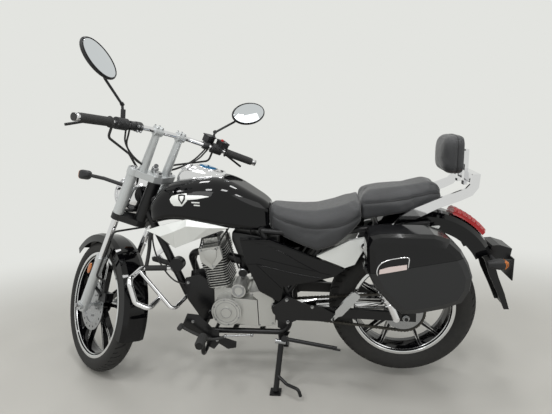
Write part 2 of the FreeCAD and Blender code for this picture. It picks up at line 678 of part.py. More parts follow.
guard_in = s.front_tyre_radius + s.mudguard_gap
guard_out = guard_in + s.mudguard_wall
half = 56
guard_profile = [(guard_in - 38, half), (guard_in - 8, half - 4), (guard_in, half - 24),
                 (guard_in, -half + 24), (guard_in - 8, -half + 4), (guard_in - 38, -half),
                 (guard_in - 38, -half - 3), (guard_out - 8, -half), (guard_out, -half + 22),
                 (guard_out, half - 22), (guard_out - 8, half), (guard_in - 38, half + 3)]
front_guard = ring_sector(guard_profile, FRONT_HUB, 48, 150)
stay_pieces = []
for side in (-1, 1):
    pad = rod(fork(s.fork_offset, side * (half - 1), 190),
              fork(s.fork_offset, side * (s.fork_half_width - s.slider_radius - s.seat_gap), 190), 9)
    strap = prism([fork(s.fork_offset - 9, side * (half + 1), 180), fork(s.fork_offset + 9, side * (half + 1), 180),
                   fork(s.fork_offset + 9, side * (half + 1), 312), fork(s.fork_offset - 9, side * (half + 1), 312)],
                  Vector(0, side * 4, 0))
    stay_pieces += [pad, strap]
keep("front_mudguard", fuse([front_guard] + stay_pieces), STEERED)

caliper = block((-34, 34), (24, 62), (-20, 20))
caliper = caliper.cut(block((-60, 60), (44, 52), (-60, 16)))
caliper = at(caliper, caliper_at)
bracket = rod(fork(s.fork_offset - 70, 62, 105), fork(s.fork_offset, 66, 105), 7)
caliper = fuse([caliper, bracket]).cut(rod(fork(s.fork_offset, s.fork_half_width, 60),
                                           fork(s.fork_offset, s.fork_half_width, 150),
                                           s.slider_radius + s.seat_gap))
caliper = caliper.cut(rod(FRONT_HUB + Vector(0, 43, 0), FRONT_HUB + Vector(0, 53, 0), s.disc_radius + 4))
keep("brake_caliper", caliper, STEERED)

# Frame

head_low = s.lower_yoke_height + s.yoke_thick / 2 + 1
head_high = s.upper_yoke_height - s.yoke_thick / 2 - 1
head = rod(fork(0, 0, head_low), fork(0, 0, head_high), s.head_tube_radius)
tube_r = s.frame_tube_radius
head_mid = fork(-14, 0, (head_low + head_high) / 2 + 20)
head_bottom = fork(-12, 0, head_low + 56)
# A cross bar carries the rear mudguard's crest
GUARD_CENTRE = Vector(-603, 0, 456)
guard_bar_x = -420
guard_bar_z = GUARD_CENTRE.z + math.sqrt((s.rear_guard_radius + s.seat_gap + 10) ** 2
                                         - (guard_bar_x - GUARD_CENTRE.x) ** 2)
# The side stand's bolt leans outwards, so that its foot swings out past the centre stand
SIDE_PIVOT = Vector(-46, 154, 240)
SIDE_AXIS = Vector(0, math.cos(math.radians(s.side_stand_lean)), math.sin(math.radians(s.side_stand_lean)))
rails = []
rail_y = s.rail_half_width
pivot_y = 99
backbone = bent_rod([tuple(head_mid), (380, 0, 792), (90, 0, 735), (30, 0, 690)], tube_r + 5, 90)
downtube = bent_rod([tuple(head_bottom), (410, 0, 372), (330, 0, 248)], tube_r + 2, 80)
cross = [rod(Vector(34, -rail_y, 690), Vector(34, rail_y, 690), tube_r),
         rod(Vector(330, -rail_y, 238), Vector(330, rail_y, 238), tube_r - 2),
         rod(Vector(-318, -rail_y, 684), Vector(-318, rail_y, 684), tube_r - 3),
         rod(Vector(60, -rail_y - 3, 238), Vector(60, rail_y + 3, 238), tube_r - 3),
         rod(Vector(180, -rail_y, 238), Vector(180, rail_y, 238), tube_r - 3),
         rod(Vector(guard_bar_x, -rail_y, guard_bar_z), Vector(guard_bar_x, rail_y, guard_bar_z), 10)]
for side in (-1, 1):
    y = side * rail_y
    out = side * pivot_y
    rails.append(bent_rod([(330, y, 238), (200, y, 238), (-62, out, 238), (-62, out, 420), (-10, out, 560),
                           (34, y, 690)], tube_r - 3, 50))
    plate = side_plate([(-84, 300), (-80, 430), (-46, 470), (-12, 452), (-12, 262), (-40, 250)],
                       out - 6, out + 6)
    plate = plate.fuse(rod(Vector(s.pivot_x, out - 6, s.pivot_z), Vector(s.pivot_x, out + 6, s.pivot_z), 28))
    stand_ear = side_plate([(-62, 238), (-10, 238), (-14, 196), (-38, 196)], out - 4, out + 4)
    rails += [plate, stand_ear]
    if side > 0:
        rails.append(rod(SIDE_PIVOT - SIDE_AXIS * 58, SIDE_PIVOT, 9))
    rails.append(bent_rod([(34, y, 690), (-200, y, 664), (-350, y, 690), (-620, y, 712)],
                          tube_r - 3, 60))
    rails.append(side_plate([(-392, 692), (-352, 692), (-360, 628), (-384, 628)], y - 4, y + 4))
    rails.append(rod(Vector(-372, y, 640), Vector(-372, side * (s.arm_half_width + s.arm_half_thick), 640), 9))
    bag_side = side * (s.bag_inner - s.seat_gap)
    rails.append(bent_rod([(-600, y, 710), (-600, side * 136, 600), (-600, bag_side, 600)], 8, 14))
    rails.append(rod(Vector(-600, side * 160, 600), Vector(-600, bag_side, 600), 16))
    rails.append(rod(Vector(-62, out, 420), Vector(-240, y, 668), tube_r - 4))
    rails.append(bent_rod([(-520, y, 704), (-520, side * 100, 730), (-520, side * s.pillion_half_width, 730)], 6, 8))
frame_shape = fuse([head, backbone, downtube] + cross + rails)
frame_shape = frame_shape.cut(rod(fork(0, 0, head_low - 5), fork(0, 0, head_high + 5),
                                  s.stem_radius + s.running_fit))
frame_shape = frame_shape.cut(rod(Vector(s.pivot_x, -200, s.pivot_z), Vector(s.pivot_x, 200, s.pivot_z),
                                  15 + s.seat_gap))
frame_shape = frame_shape.cut(rod(Vector(s.stand_pivot_x, -200, s.stand_pivot_z),
                                  Vector(s.stand_pivot_x, 200, s.stand_pivot_z), 11 + s.running_fit))
keep("frame", frame_shape)

# Swingarm, axle and shock absorbers

arm_y = s.arm_half_width
arms = []
for side in (-1, 1):
    y = side * arm_y
    arms.append(side_plate([(s.pivot_x - 20, s.pivot_z - 22), (s.pivot_x - 20, s.pivot_z + 22),
                            (s.rear_axle_x - 40, REAR_HUB.z + 18), (s.rear_axle_x - 40, REAR_HUB.z - 18)],
                           y - s.arm_half_thick, y + s.arm_half_thick))
    arms.append(rod(Vector(s.pivot_x, y - 12, s.pivot_z), Vector(s.pivot_x, y + 12, s.pivot_z), 24))
arms.append(rod(Vector(s.pivot_x, -arm_y, s.pivot_z), Vector(s.pivot_x, arm_y, s.pivot_z), 15))
axle_solid = rod(Vector(s.rear_axle_x, -arm_y - 24, REAR_HUB.z),
                 Vector(s.rear_axle_x, arm_y + 24, REAR_HUB.z), s.axle_radius)
swing = fuse(arms + [axle_solid])
keep("swingarm", swing)

shock_y = arm_y + s.arm_half_thick + s.seat_gap + 15
low = Vector(s.rear_axle_x + 40, shock_y, REAR_HUB.z + 4)
high = Vector(-372, shock_y, 640)
length = (high - low).Length
damper = turned_body("Damper", [
    (0, 4), (15, 4), (15, 62), (20, 66), (20, length - 78), (23, length - 74), (23, length - 40),
    (12, length - 32), (12, length), (0, length)])
settle(damper, "ShockDamper", low, None, high - low)
eyes = []
for name, point in (("ShockLowEye", low), ("ShockHighEye", high)):
    eye = doc.addObject("Part::Cylinder", name)
    eye.Radius = 13
    eye.Height = 22
    eye.Placement = FreeCAD.Placement(Vector(point.x, arm_y + s.arm_half_thick + s.seat_gap, point.z),
                                      Rotation(Vector(0, 0, 1), Vector(0, 1, 0)))
    eyes.append(eye)
shock = doc.addObject("Part::MultiFuse", "ShockLeft")
shock.Shapes = [damper] + eyes
shock.Refine = False
group("rear_shocks", [shock, other_side(shock)])

# Chain

cy = s.chain_y
front_c = Vector(30, cy, 345)
rear_c = Vector(s.rear_axle_x, cy, REAR_HUB.z)


def chain_band(grow, side_room=0):
    """A belt outline round both sprockets, grown by a distance."""
    r1 = s.front_sprocket_radius + grow
    r2 = s.sprocket_radius + grow
    d = front_c - rear_c
    length = d.Length
    base = math.atan2(d.z, d.x)
    open_angle = math.acos((r2 - r1) / length)
    def point(c, r, a):
        return Vector(c.x + r * math.cos(a), cy - 6 - side_room, c.z + r * math.sin(a))
    a_up = base + open_angle
    a_down = base - open_angle
    edges = [Part.LineSegment(point(rear_c, r2, a_up), point(front_c, r1, a_up)).toShape(),
             Part.Arc(point(front_c, r1, a_up), point(front_c, r1, base), point(front_c, r1, a_down)).toShape(),
             Part.LineSegment(point(front_c, r1, a_down), point(rear_c, r2, a_down)).toShape(),
             Part.Arc(point(rear_c, r2, a_down), point(rear_c, r2, base + math.pi), point(rear_c, r2, a_up)).toShape()]
    return Part.Face(Part.Wire(edges)).extrude(Vector(0, 12 + 2 * side_room, 0))


keep("drive_chain", chain_band(s.chain_half).cut(chain_band(-s.chain_half)))

# Engine

case_low = 238 + 12 + s.seat_gap
case_outline = [(4, 300), (0, 405), (40, 424), (100, 424), (118, 400.7), (176, 400.7), (190, 426),
                (262, 420), (268, 330), (244, 268), (200, case_low), (30, case_low)]
ew = s.engine_half_width
chain_room = chain_band(s.chain_half + 8, 4)
case = side_plate(case_outline, -ew, ew).cut(chain_room)
keep("engine_case", case)

lean = math.radians(8)
barrel_base = Vector(236, 0, 426)
BARREL_UP = Vector(math.sin(lean), 0, math.cos(lean))
BARREL_FORE = Vector(math.cos(lean), 0, -math.sin(lean))


def barrel(fore, left, up):
    return barrel_base + BARREL_FORE * fore + Vector(0, left, 0) + BARREL_UP * up


def slab(half_x, half_y, low, high):
    """A square slice of the barrel between two heights, with cut corners."""
    c = 12
    outline = [(-half_x + c, -half_y), (half_x - c, -half_y), (half_x, -half_y + c),
               (half_x, half_y - c), (half_x - c, half_y), (-half_x + c, half_y),
               (-half_x, half_y - c), (-half_x, -half_y + c)]
    base = [barrel(a, b, low) for a, b in outline]
    return Part.Face(Part.makePolygon(base + base[:1])).extrude(BARREL_UP * (high - low))


fins = [slab(s.barrel_half - 8, s.barrel_half + 18, -8, 200)]
fin_count = 16
for i in range(fin_count):
    low = 10 + i * s.fin_pitch
    grow = 8 if i > 7 else 0
    fins.append(slab(s.barrel_half + 3 + grow, s.barrel_half + 32, low, low + s.fin_thick))
fins.append(slab(s.barrel_half - 4, s.barrel_half - 2, 200, 222))
fins.append(rod(barrel(0, -20, 150), barrel(s.barrel_half + 15, -20, 150), 23))
keep("engine_cylinder", fuse(fins).cut(case))

covers = []
alternator = rod(Vector(201, ew + s.seat_gap, 342), Vector(201, ew + 62, 342), s.alternator_radius)
cap = rod(Vector(201, ew + 62, 342), Vector(201, ew + 68, 342), 24)
tail = side_plate([(201, 286), (70, 268), (70, 390), (201, 402)], ew + s.seat_gap, ew + 44)
covers.append(fuse([alternator, cap, tail]).cut(chain_room))
sprocket_cover = side_plate([(66, 268), (0, 274), (-6, 348), (-6, 380), (20, 436), (100, 424), (66, 392)],
                            ew + s.seat_gap, ew + 44)
swing_notch = rod(Vector(s.pivot_x, 0, s.pivot_z), Vector(s.pivot_x, 300, s.pivot_z), 30)
covers.append(sprocket_cover.cut(swing_notch).cut(chain_room))
covers.append(rod(Vector(146, 10, 432), Vector(146, ew + 46, 432), 31))
clutch = rod(Vector(96, -ew - s.seat_gap, 336), Vector(96, -ew - 46, 336), s.clutch_radius)
kick = side_plate([(60, 262), (240, 276), (256, 330), (240, 404), (60, 410)], -ew - 34, -ew - s.seat_gap)
covers.append(fuse([clutch, kick]))
for side in (-1, 1):
    shield = [barrel(a, 0, b) for a, b in ((-48, 196), (-50, 140), (4, 98), (46, 140), (44, 196))]
    shield = Part.Face(Part.makePolygon(shield + shield[:1])).extrude(Vector(0, 18, 0))
    shield.translate(Vector(0, s.barrel_half + 32 + s.seat_gap, 0))
    covers.append(shield if side > 0 else mirrored(shield))
keep("engine_covers", Part.makeCompound(covers))

barrel_room = slab(s.barrel_half + 11 + s.seat_gap, s.barrel_half + 33, 0, 222)
carb = fuse([rod(Vector(212, 0, 548), Vector(90, 0, 512), 21), rod(Vector(132, 0, 472), Vector(132, 0, 564), 26),
             rod(Vector(132, 0, 492), Vector(132, 60, 492), 18),
             block((10, 100), (-46, 46), (468, 592))])
carb = carb.cut(barrel_room)
keep("carburettor", carb)

port = barrel(s.barrel_half + 15 + s.seat_gap, -20, 150)
pipe = bent_rod([tuple(port), tuple(barrel(s.barrel_half + 82, -20, 150)), (378, -100, 380), (330, -136, 204), (120, -152.6, 215.2),
                 (-60, -158, 226)], 16, 40)
keep("exhaust_pipe", pipe)
muffler_dir = Vector(-180, -5.4, 10.8).normalize()
muffler_start = Vector(-60, -158, 226) + muffler_dir * s.seat_gap
silencer = turned_body("Silencer", [
    (0, 0), (24, 0), (26, 14), (s.muffler_radius, 110), (s.muffler_radius, s.muffler_length - 60),
    (s.muffler_radius - 5, s.muffler_length - 52), (s.muffler_radius - 8, s.muffler_length),
    (s.muffler_radius - 14, s.muffler_length), (s.muffler_radius - 14, s.muffler_length - 30),
    (0, s.muffler_length - 30)])
PARTS.append(settle(silencer, "muffler", muffler_start, None, muffler_dir))

# Fuel tank and its console

tank_rear = 6
tank_rows = [  # x, half width, bottom, top, low radius, high radius
    (tank_rear, 66, 672, 790, 16, 36),
    (60, 96, 686, 832, 24, 52),
    (130, 122, 700, 878, 30, 74),
    (210, s.tank_half_width - 4, 718, s.tank_top, 34, 92),
    (320, s.tank_half_width, 742, s.tank_top - 2, 34, 92),
    (410, s.tank_half_width - 6, 748, 888, 34, 80),
    (462, s.tank_half_width - 18, 738, 852, 28, 56),
    (486, s.tank_half_width - 34, 734, 820, 20, 34)]
tank = loft([section(x, -w, w, low, high, r1, r2) for x, w, low, high, r1, r2 in tank_rows])
tunnel = bent_rod([tuple(head_mid), (380, 0, 792), (90, 0, 735), (-60, 0, 690)], tube_r + 13, 90)
tunnel_block = loft([section(x, -tube_r - 13, tube_r + 13, 600, z, 2, 2) for x, z in
                     ((-20, 712), (90, 740), (380, 797), (520, 822))])
tank = tank.cut(tunnel_block).cut(tunnel)
tank = tank.cut(rod(Vector(34, -200, 690), Vector(34, 200, 690), tube_r + s.seat_gap))
keep("fuel_tank", tank)

console = loft([section(x, -w, w, low, high, 3, r) for x, w, low, high, r in (
    (396, 16, 880, 908, 6), (356, 40, 880, 948, 22), (270, 52, 880, 944, 26), (196, 40, 880, 922, 16))])
console = console.cut(tank)
keep("tank_console", console)

# Side panels

def ridged(outline, crest, inner, edge, top):
    """A panel whose outer side rises from its edge to a crest line."""
    base = [Vector(x, inner, z) for x, z in outline]
    rim = [Vector(x, edge, z) for x, z in outline]
    peak = [Vector(x, top, z) for x, z in crest]
    count = len(outline)
    faces = [Part.Face(Part.makePolygon(base + base[:1]))]
    for i in range(count):
        j = (i + 1) % count
        faces.append(Part.Face(Part.makePolygon([base[i], base[j], rim[j], rim[i], base[i]])))
    last = len(crest) - 1
    near = [min(range(last + 1), key=lambda k: (crest[k][0] - x) ** 2 + (crest[k][1] - z) ** 2) for x, z in outline]
    for i in range(count):
        j = (i + 1) % count
        a, b = near[i], near[j]
        faces.append(Part.Face(Part.makePolygon([rim[i], rim[j], peak[a], rim[i]])))
        step = 1 if b > a else -1
        while a != b:
            faces.append(Part.Face(Part.makePolygon([rim[j], peak[a + step], peak[a], rim[j]])))
            a += step
    return Part.Solid(Part.makeShell(faces))


scoop = ridged([(506, 712), (420, 736), (328, 756), (240, 737), (160, 716), (240, 689), (320, 660), (390, 634),
                (400, 640), (450, 684)],
               [(440, 690), (384, 708), (327, 731), (240, 722)], 133, 137, 153).cut(tank)
keep("side_scoops", Part.makeCompound(both_sides(scoop)))
side_cover = side_plate([(120, 668), (71, 664), (-1, 662), (-180, 585), (-297, 536), (-253, 504),
                         (-165, 483), (-49, 462), (-33, 390), (52, 440), (100, 560)], pivot_y + 12 + s.seat_gap, 130)
keep("side_covers", Part.makeCompound(both_sides(side_cover)))
rear_panel = side_plate([(-186, 590), (-315, 654), (-377, 664), (-520, 690), (-653, 706), (-640, 692),
                         (-500, 672), (-374, 640), (-365, 608), (-335, 555), (-297, 541)],
                        rail_y + 12 + s.seat_gap, 126)
keep("rear_panels", Part.makeCompound(both_sides(rear_panel.cut(frame_shape))))

# Seats

seat_rows = [  # x, half width, bottom, top, low radius, high radius
    (tank_rear - s.seat_gap, 70, 690, 790, 8, 34),
    (-60, 112, 656, 773, 10, 42),
    (-130, 136, 630, 765, 12, 50),
    (-190, s.seat_half_width - 2, 611, 764, 12, 54),
    (-262, s.seat_half_width, 634, 778, 12, 52),
    (-324, s.seat_half_width - 5, 686, 797, 12, 46),
    (-361.7, s.seat_half_width - 14, 730, 806, 12, 32)]
seat = loft([section(x, -w, w, low, high, r1, r2) for x, w, low, high, r1, r2 in seat_rows])
under_seat = side_plate([(40, 600), (40, 704), (-60, 693), (-200, 678), (-350, 703), (-420, 712), (-420, 600)],
                        -rail_y - 12 - s.seat_gap, rail_y + 12 + s.seat_gap)
keep("rider_seat", seat.cut(under_seat))
pillion_rows = [(-362, s.pillion_half_width - 2, 728, 832, 10, 40), (-440, s.pillion_half_width, 738, 844, 10, 44),
                (-540, s.pillion_half_width - 5, 753, 850, 10, 42), (-620, s.pillion_half_width - 15, 763, 868, 10, 40),
                (-668, s.pillion_half_width - 30, 782, 842, 8, 26)]
pillion = loft([section(x, -w, w, low, high, r1, r2) for x, w, low, high, r1, r2 in pillion_rows])
keep("pillion_seat", pillion)

# Backrest

back = loft([section(x, -w, w, low, high, r, r) for x, w, low, high, r in (
    (-668, 70, 912, 1016, 26), (-686, 84, 896, 1036, 34), (-726, 90, 888, 1044, 34), (-742, 84, 896, 1036, 28))])
keep("backrest_pad", back)
rail_outline = [(-478, 714), (-560, 736), (-640, 776), (-724, 806), (-762, 824), (-782, 852), (-786, 902),
                (-758, 902), (-752, 866), (-738, 850), (-655, 820), (-560, 780), (-506, 748)]
bar_inner = s.pillion_half_width + s.seat_gap
bar_outer = bar_inner + s.rail_bar_thick
bars = []
for side in (-1, 1):
    low_y, high_y = sorted((side * bar_inner, side * bar_outer))
    bars.append(side_plate(rail_outline, low_y, high_y))
    upright = side_plate([(-764, 850), (-764, 985), (-752, 985), (-750, 850)], side * 40 - 14, side * 40 + 14)
    bars.append(upright)
bars.append(side_plate([(-760, 866), (-758, 902), (-786, 902), (-783, 866)], -bar_outer + 1, bar_outer - 1))
bars.append(block((-752, -742.3), (-54, 54), (930, 980)))
keep("sissy_bar", fuse(bars))

# Rear mudguard, tail lamp and plate holder

R = s.rear_guard_radius
w = s.rear_guard_half
wall = s.mudguard_wall
rear_profile = [(R - 74, w), (R - 22, w - 3), (R - 6, w - 24), (R, w - 50), (R, -w + 50), (R - 6, -w + 24),
                (R - 22, -w + 3), (R - 74, -w), (R - 74, -w + wall), (R - 23, -w + wall + 3),
                (R - 6 - wall, -w + 26), (R - wall, -w + 51), (R - wall, w - 51), (R - 6 - wall, w - 26),
                (R - 23, w - wall - 3), (R - 74, w - wall)]
rear_guard = ring_sector(rear_profile, GUARD_CENTRE, 34, 119.7)
keep("rear_mudguard", rear_guard)
# Black tail piece below the mudguard: neck, plate holder and flap
tail_end = side_plate([(-866, 592), (-846, 548), (-868, 480), (-905, 400), (-934, 330), (-954, 330), (-932, 400),
                       (-904, 470), (-888, 520), (-905, 545), (-940, 548), (-946, 590), (-900, 606), (-872, 604)],
                      -52, 52)
hollow = side_plate([(-836, 548), (-858, 480), (-896, 400), (-924, 320), (-946, 320), (-926, 402), (-898, 472),
                     (-880, 530)], -47, 47)
under_guard = ring_sector([(200, 90), (R + s.seat_gap, 90), (R + s.seat_gap, -90), (200, -90)], GUARD_CENTRE, 34, 120)
tail_end = tail_end.cut(hollow).cut(under_guard)
holder = block((-944, -940), (-84, 84), (470, 560))
for y in (-s.plate_hole_half, s.plate_hole_half):
    holder = holder.cut(rod(Vector(-950, y, 540), Vector(-930, y, 540), s.plate_hole_radius))
keep("tail_piece", fuse([tail_end, holder]))
lamp_profile = [(R + s.seat_gap, 44), (R + 14, 40), (R + 25, 18), (R + 25, -18), (R + 14, -40), (R + s.seat_gap, -44)]
tail = ring_sector(lamp_profile, GUARD_CENTRE, 113, 28)
keep("tail_lamp", tail)
winkers = []
for side in (-1, 1):
    y = side * 128
    pod = loft([section(x, y - half_w, y + half_w, 556 - t, 556 + t, t * 0.7, t * 0.7)
                for x, half_w, t in ((-830, 12, 9), (-862, 20, 18), (-892, 18, 16), (-902, 10, 9))])
    stem = rod(Vector(-866, y, 556), Vector(-866, side * (52 + s.seat_gap), 560), 8)
    winkers.append(fuse([pod, stem]))
keep("rear_indicators", Part.makeCompound(winkers))

# Saddlebags

bag_outline = [(-366, 700), (-378, 728), (-410, 736), (-480, 736), (-590, 732), (-640, 714), (-678, 678),
               (-704, 630), (-720, 580), (-714, 530), (-690, 486), (-632, 462), (-545, 442), (-490, 438),
               (-462, 458), (-394, 540), (-368, 600)]
bag_middle = (-545, 600)
seam_front = Vector(-366, 0, 598)
seam_rear = Vector(-740, 0, 664)


def bag_ring(y, inset):
    """The bag's outline at one y, drawn in towards its middle."""
    ring = []
    for x, z in bag_outline:
        dx = x - bag_middle[0]
        dz = z - bag_middle[1]
        k = 1 - inset / math.hypot(dx, dz)
        ring.append(Vector(bag_middle[0] + dx * k, y, bag_middle[1] + dz * k))
    return Part.makePolygon(ring + ring[:1])


def bag_solid(shrink):
    """The closed bag, or its hollow when shrunk by the wall."""
    inner = s.bag_inner + shrink
    outer = s.bag_outer - shrink
    rows = ((inner, 10), (inner + 16, 0), (outer - 30, 0), (outer - 10, 9), (outer, 30))
    return Part.makeLoft([bag_ring(y, inset + shrink * 1.1) for y, inset in rows], True, True)


def half_space(offset, above):
    """A big block above or below the seam plane."""
    along = (seam_rear - seam_front).normalize()
    up = Vector(-along.z, 0, along.x)
    if up.z < 0:
        up = up * -1
    a = seam_front - along * 200 + up * offset
    b = seam_rear + along * 200 + up * offset
    reach = up * (400 if above else -400)
    corners = [a, b, b + reach, a + reach]
    return prism([(c.x, 100, c.z) for c in corners], (0, 300, 0))


shell = bag_solid(0).cut(bag_solid(s.bag_wall))
box_left = shell.common(half_space(-s.lid_gap / 2, False))
lid_left = shell.common(half_space(s.lid_gap / 2, True))
hinge_at = Vector(-364, 0, 599)


def knuckle(y_low, y_high, radius):
    return rod(hinge_at + Vector(0, y_low, 0), hinge_at + Vector(0, y_high, 0), radius)


pin_radius = 2.5
box_spans = [(222, 240), (262, 280)]
lid_span = (240.5, 261.5)
room = 6.8
for low_y, high_y in box_spans:
    leaf = side_plate([(-370, 598), (-360, 598), (-366, 580), (-374, 580)], low_y, high_y)
    box_left = box_left.fuse(knuckle(low_y, high_y, 6)).fuse(leaf)
    lid_left = lid_left.cut(knuckle(low_y - 1, high_y + 1, room))
box_left = box_left.cut(knuckle(lid_span[0] - 0.4, lid_span[1] + 0.4, room))
box_left = fuse([box_left, knuckle(222, 280, pin_radius)])
leaf = side_plate([(-372, 601), (-361, 601), (-364, 618), (-370, 618)], lid_span[0], lid_span[1])
lid_left = lid_left.fuse(knuckle(lid_span[0], lid_span[1], 6)).fuse(leaf)
lid_left = lid_left.cut(knuckle(230, 270, pin_radius + s.running_fit))
for low_y, high_y in box_spans:
    lid_left = lid_left.cut(knuckle(low_y - 0.5, high_y + 0.5, 6.3))
keep("bag_box_left", box_left)
keep("bag_lid_left", lid_left)
keep("bag_box_right", mirrored(box_left))
keep("bag_lid_right", mirrored(lid_left))

# Crash bars

guards = []
for side in (-1, 1):
    y = side
    guards.append(bent_rod([(470, 20 * y, 500), (587, 60 * y, 515), (578, 200 * y, 520), (560, 205 * y, 420),
                            (511, 190 * y, 387), (492, 100 * y, 400)], s.guard_tube_radius, 30))
    guards.append(bent_rod([(574, 100 * y, 516), (438, 120 * y, 345), (405, 26 * y, 366)], s.guard_tube_radius - 2, 24))
keep("crash_bars", fuse(guards).cut(downtube))

# Foot controls

pegs = []
brackets = []
folded = []
peg_inner = s.arm_half_width + 12 + s.seat_gap
peg_hinge = Vector(-247, 0, 332)
peg_way = Vector(-0.66, 0, 0.751)
peg_flank = Vector(peg_way.z, 0, -peg_way.x)
peg_rows = [(-9, 6), (20, 8), (34, 17), (138, 18), (146, 13)]
for side in (-1, 1):
    pegs.append(rod(Vector(292, side * 182, 262), Vector(288, side * 262, 262), 15))
    # Passenger's bracket outside the swingarm, on two spacers from the frame's pivot plate
    bracket = side_plate([(-8, 318), (-8, 378), (-60, 424), (-142, 386), (-204, 374), (-252, 348), (-258, 330),
                          (-248, 312), (-96, 316), (-60, 296)], side * peg_inner, side * (peg_inner + 5))
    for low_x, low_z in ((-60, 408), (-60, 308)):
        bracket = bracket.fuse(rod(Vector(low_x, side * 100, low_z), Vector(low_x, side * (peg_inner + 5), low_z), 8))
    bracket = bracket.fuse(rod(peg_hinge + Vector(0, side * peg_inner, 0), peg_hinge + Vector(0, side * 165, 0), 4))
    brackets.append(bracket.removeSplitter().cut(frame_shape))
    # Passenger's peg, folded up beside the bracket
    edge = [peg_hinge + peg_way * a + peg_flank * b for a, b in peg_rows]
    edge += [peg_hinge + peg_way * a - peg_flank * b for a, b in reversed(peg_rows)]
    peg = side_plate([(c.x, c.z) for c in edge], side * (peg_inner + 5 + s.seat_gap), side * (peg_inner + 21))
    folded.append(peg.cut(rod(peg_hinge, peg_hinge + Vector(0, side * 200, 0), 4 + s.running_fit)))
keep("passenger_pegs", Part.makeCompound(folded))
rest_bar = bent_rod([(292, -190, 262), (300, -186, 174), (300, 186, 174), (292, 190, 262)], 9, 24)
hangers = [side_plate([(286, 230), (314, 230), (310, 168), (290, 168)], side * rail_y - 4, side * rail_y + 4)
           for side in (-1, 1)]
rider_pegs = fuse([rest_bar] + pegs + hangers).cut(frame_shape)
keep("foot_controls", Part.makeCompound([rider_pegs] + brackets))

horn = fuse([rod(Vector(424, 24, 528), Vector(424, 60, 528), 30), rod(Vector(424, 34, 528), Vector(468, 6, 520), 6)])
keep("horn", horn.cut(downtube))

# Stands

legs = []
for side in (-1, 1):
    top = Vector(s.stand_pivot_x, side * s.stand_half_top, s.stand_pivot_z)
    foot = Vector(0, side * s.stand_half_foot, 10)
    legs.append(rod(top, foot, 12))
    legs.append(block((-22, 24), sorted((side * (s.stand_half_foot - 20), side * (s.stand_half_foot + 22))), (0, 8)))
legs.append(rod(Vector(s.stand_pivot_x, -s.stand_half_top - 10, s.stand_pivot_z),
                Vector(s.stand_pivot_x, s.stand_half_top + 10, s.stand_pivot_z), 11))
legs.append(bent_rod([(-8, 166, 72), (-50, 196, 52), (-100, 226, 52), (-108, 230, 24)], 7, 16))
keep("centre_stand", fuse(legs))
down_way = Vector(0, SIDE_AXIS.z, -SIDE_AXIS.y)
leg_way = (Vector(-1, 0, 0) + down_way * 0.16).normalize()
leg_start = SIDE_PIVOT + SIDE_AXIS * 9
leg_end = leg_start + leg_way * s.side_stand_length
toe = [leg_end + leg_way * a + SIDE_AXIS * b for a, b in ((-16, -8), (14, -8), (14, 24), (-16, 24))]
toe_plate = Part.Face(Part.makePolygon(toe + toe[:1])).extrude(leg_way.cross(SIDE_AXIS) * 6)
side_leg = fuse([rod(leg_start, leg_end, 8), toe_plate,
                 rod(SIDE_PIVOT + SIDE_AXIS * s.seat_gap, SIDE_PIVOT + SIDE_AXIS * 18, 13)])
keep("side_stand", side_leg)

# Checks and export

doc.recompute()
for item in doc.Objects:
    if "Invalid" in item.State or "Error" in item.State:
        raise RuntimeError(item.Label + " failed")
for part in PARTS:
    if part.Shape.isNull() or not part.Shape.isValid():
        raise RuntimeError(part.Label + " has no valid shape")
os.makedirs("parts", exist_ok=True)
for part in PARTS:
    part.Shape.exportStep("parts/%s.step" % part.Label)
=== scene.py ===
import math

import bmesh
import bpy
from mathutils import Matrix, Quaternion, Vector
from mathutils.bvhtree import BVHTree
from mathutils.kdtree import KDTree


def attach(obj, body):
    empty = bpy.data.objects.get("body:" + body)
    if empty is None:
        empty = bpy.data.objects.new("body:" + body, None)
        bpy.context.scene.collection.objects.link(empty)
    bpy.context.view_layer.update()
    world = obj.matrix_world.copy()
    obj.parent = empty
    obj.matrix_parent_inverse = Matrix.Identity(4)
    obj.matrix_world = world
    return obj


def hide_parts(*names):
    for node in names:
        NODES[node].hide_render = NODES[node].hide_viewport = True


bl_info = {
    "name": "Cruiser Motorcycle",
    "version": (1, 0, 0),
    "blender": (4, 5, 0),
    "location": "View3D > Sidebar > Motorcycle",
    "description": "Dresses the motorcycle's frame with its finishes, seats and small parts",
    "category": "Object",
}

# Metres, in the CAD's frame: +X forward, +Y the rider's left, +Z up from the floor.
# Lengths in the tables below are millimetres, and mm() turns them to metres.

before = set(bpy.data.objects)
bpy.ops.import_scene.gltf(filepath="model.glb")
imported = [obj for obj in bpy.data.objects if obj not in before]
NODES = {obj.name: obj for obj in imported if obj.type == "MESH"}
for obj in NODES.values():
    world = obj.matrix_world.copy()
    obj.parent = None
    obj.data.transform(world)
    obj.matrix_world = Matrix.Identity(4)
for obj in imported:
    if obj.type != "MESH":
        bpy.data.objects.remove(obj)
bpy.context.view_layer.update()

LEFT = Vector((0, 1, 0))
UP = Vector((0, 0, 1))

# The steering axis where the front axle's height meets it, its rake, and the stop that it rests at
STEER_BASE = Vector((825.2673583, 0, 280.0430846))
RAKE = math.radians(28)
UP_FORK = Vector((-math.sin(RAKE), 0, math.cos(RAKE)))
AHEAD = Vector((math.cos(RAKE), 0, math.sin(RAKE)))
LOCK = Quaternion(UP_FORK, math.radians(-41.8))


def mm(x, y, z):
    """A point given in millimetres."""
    return Vector((x, y, z)) / 1000


def steered(point):
    """A point drawn with the steering straight, in mm, at its place on the turned fork, in metres."""
    return (STEER_BASE + LOCK @ (Vector(point) - STEER_BASE)) / 1000


def fork(ahead, left, up):
    """A point by its place on the fork: ahead of the steering axis, left, up from the axle."""
    return steered(STEER_BASE + AHEAD * ahead + LEFT * left + UP_FORK * up)


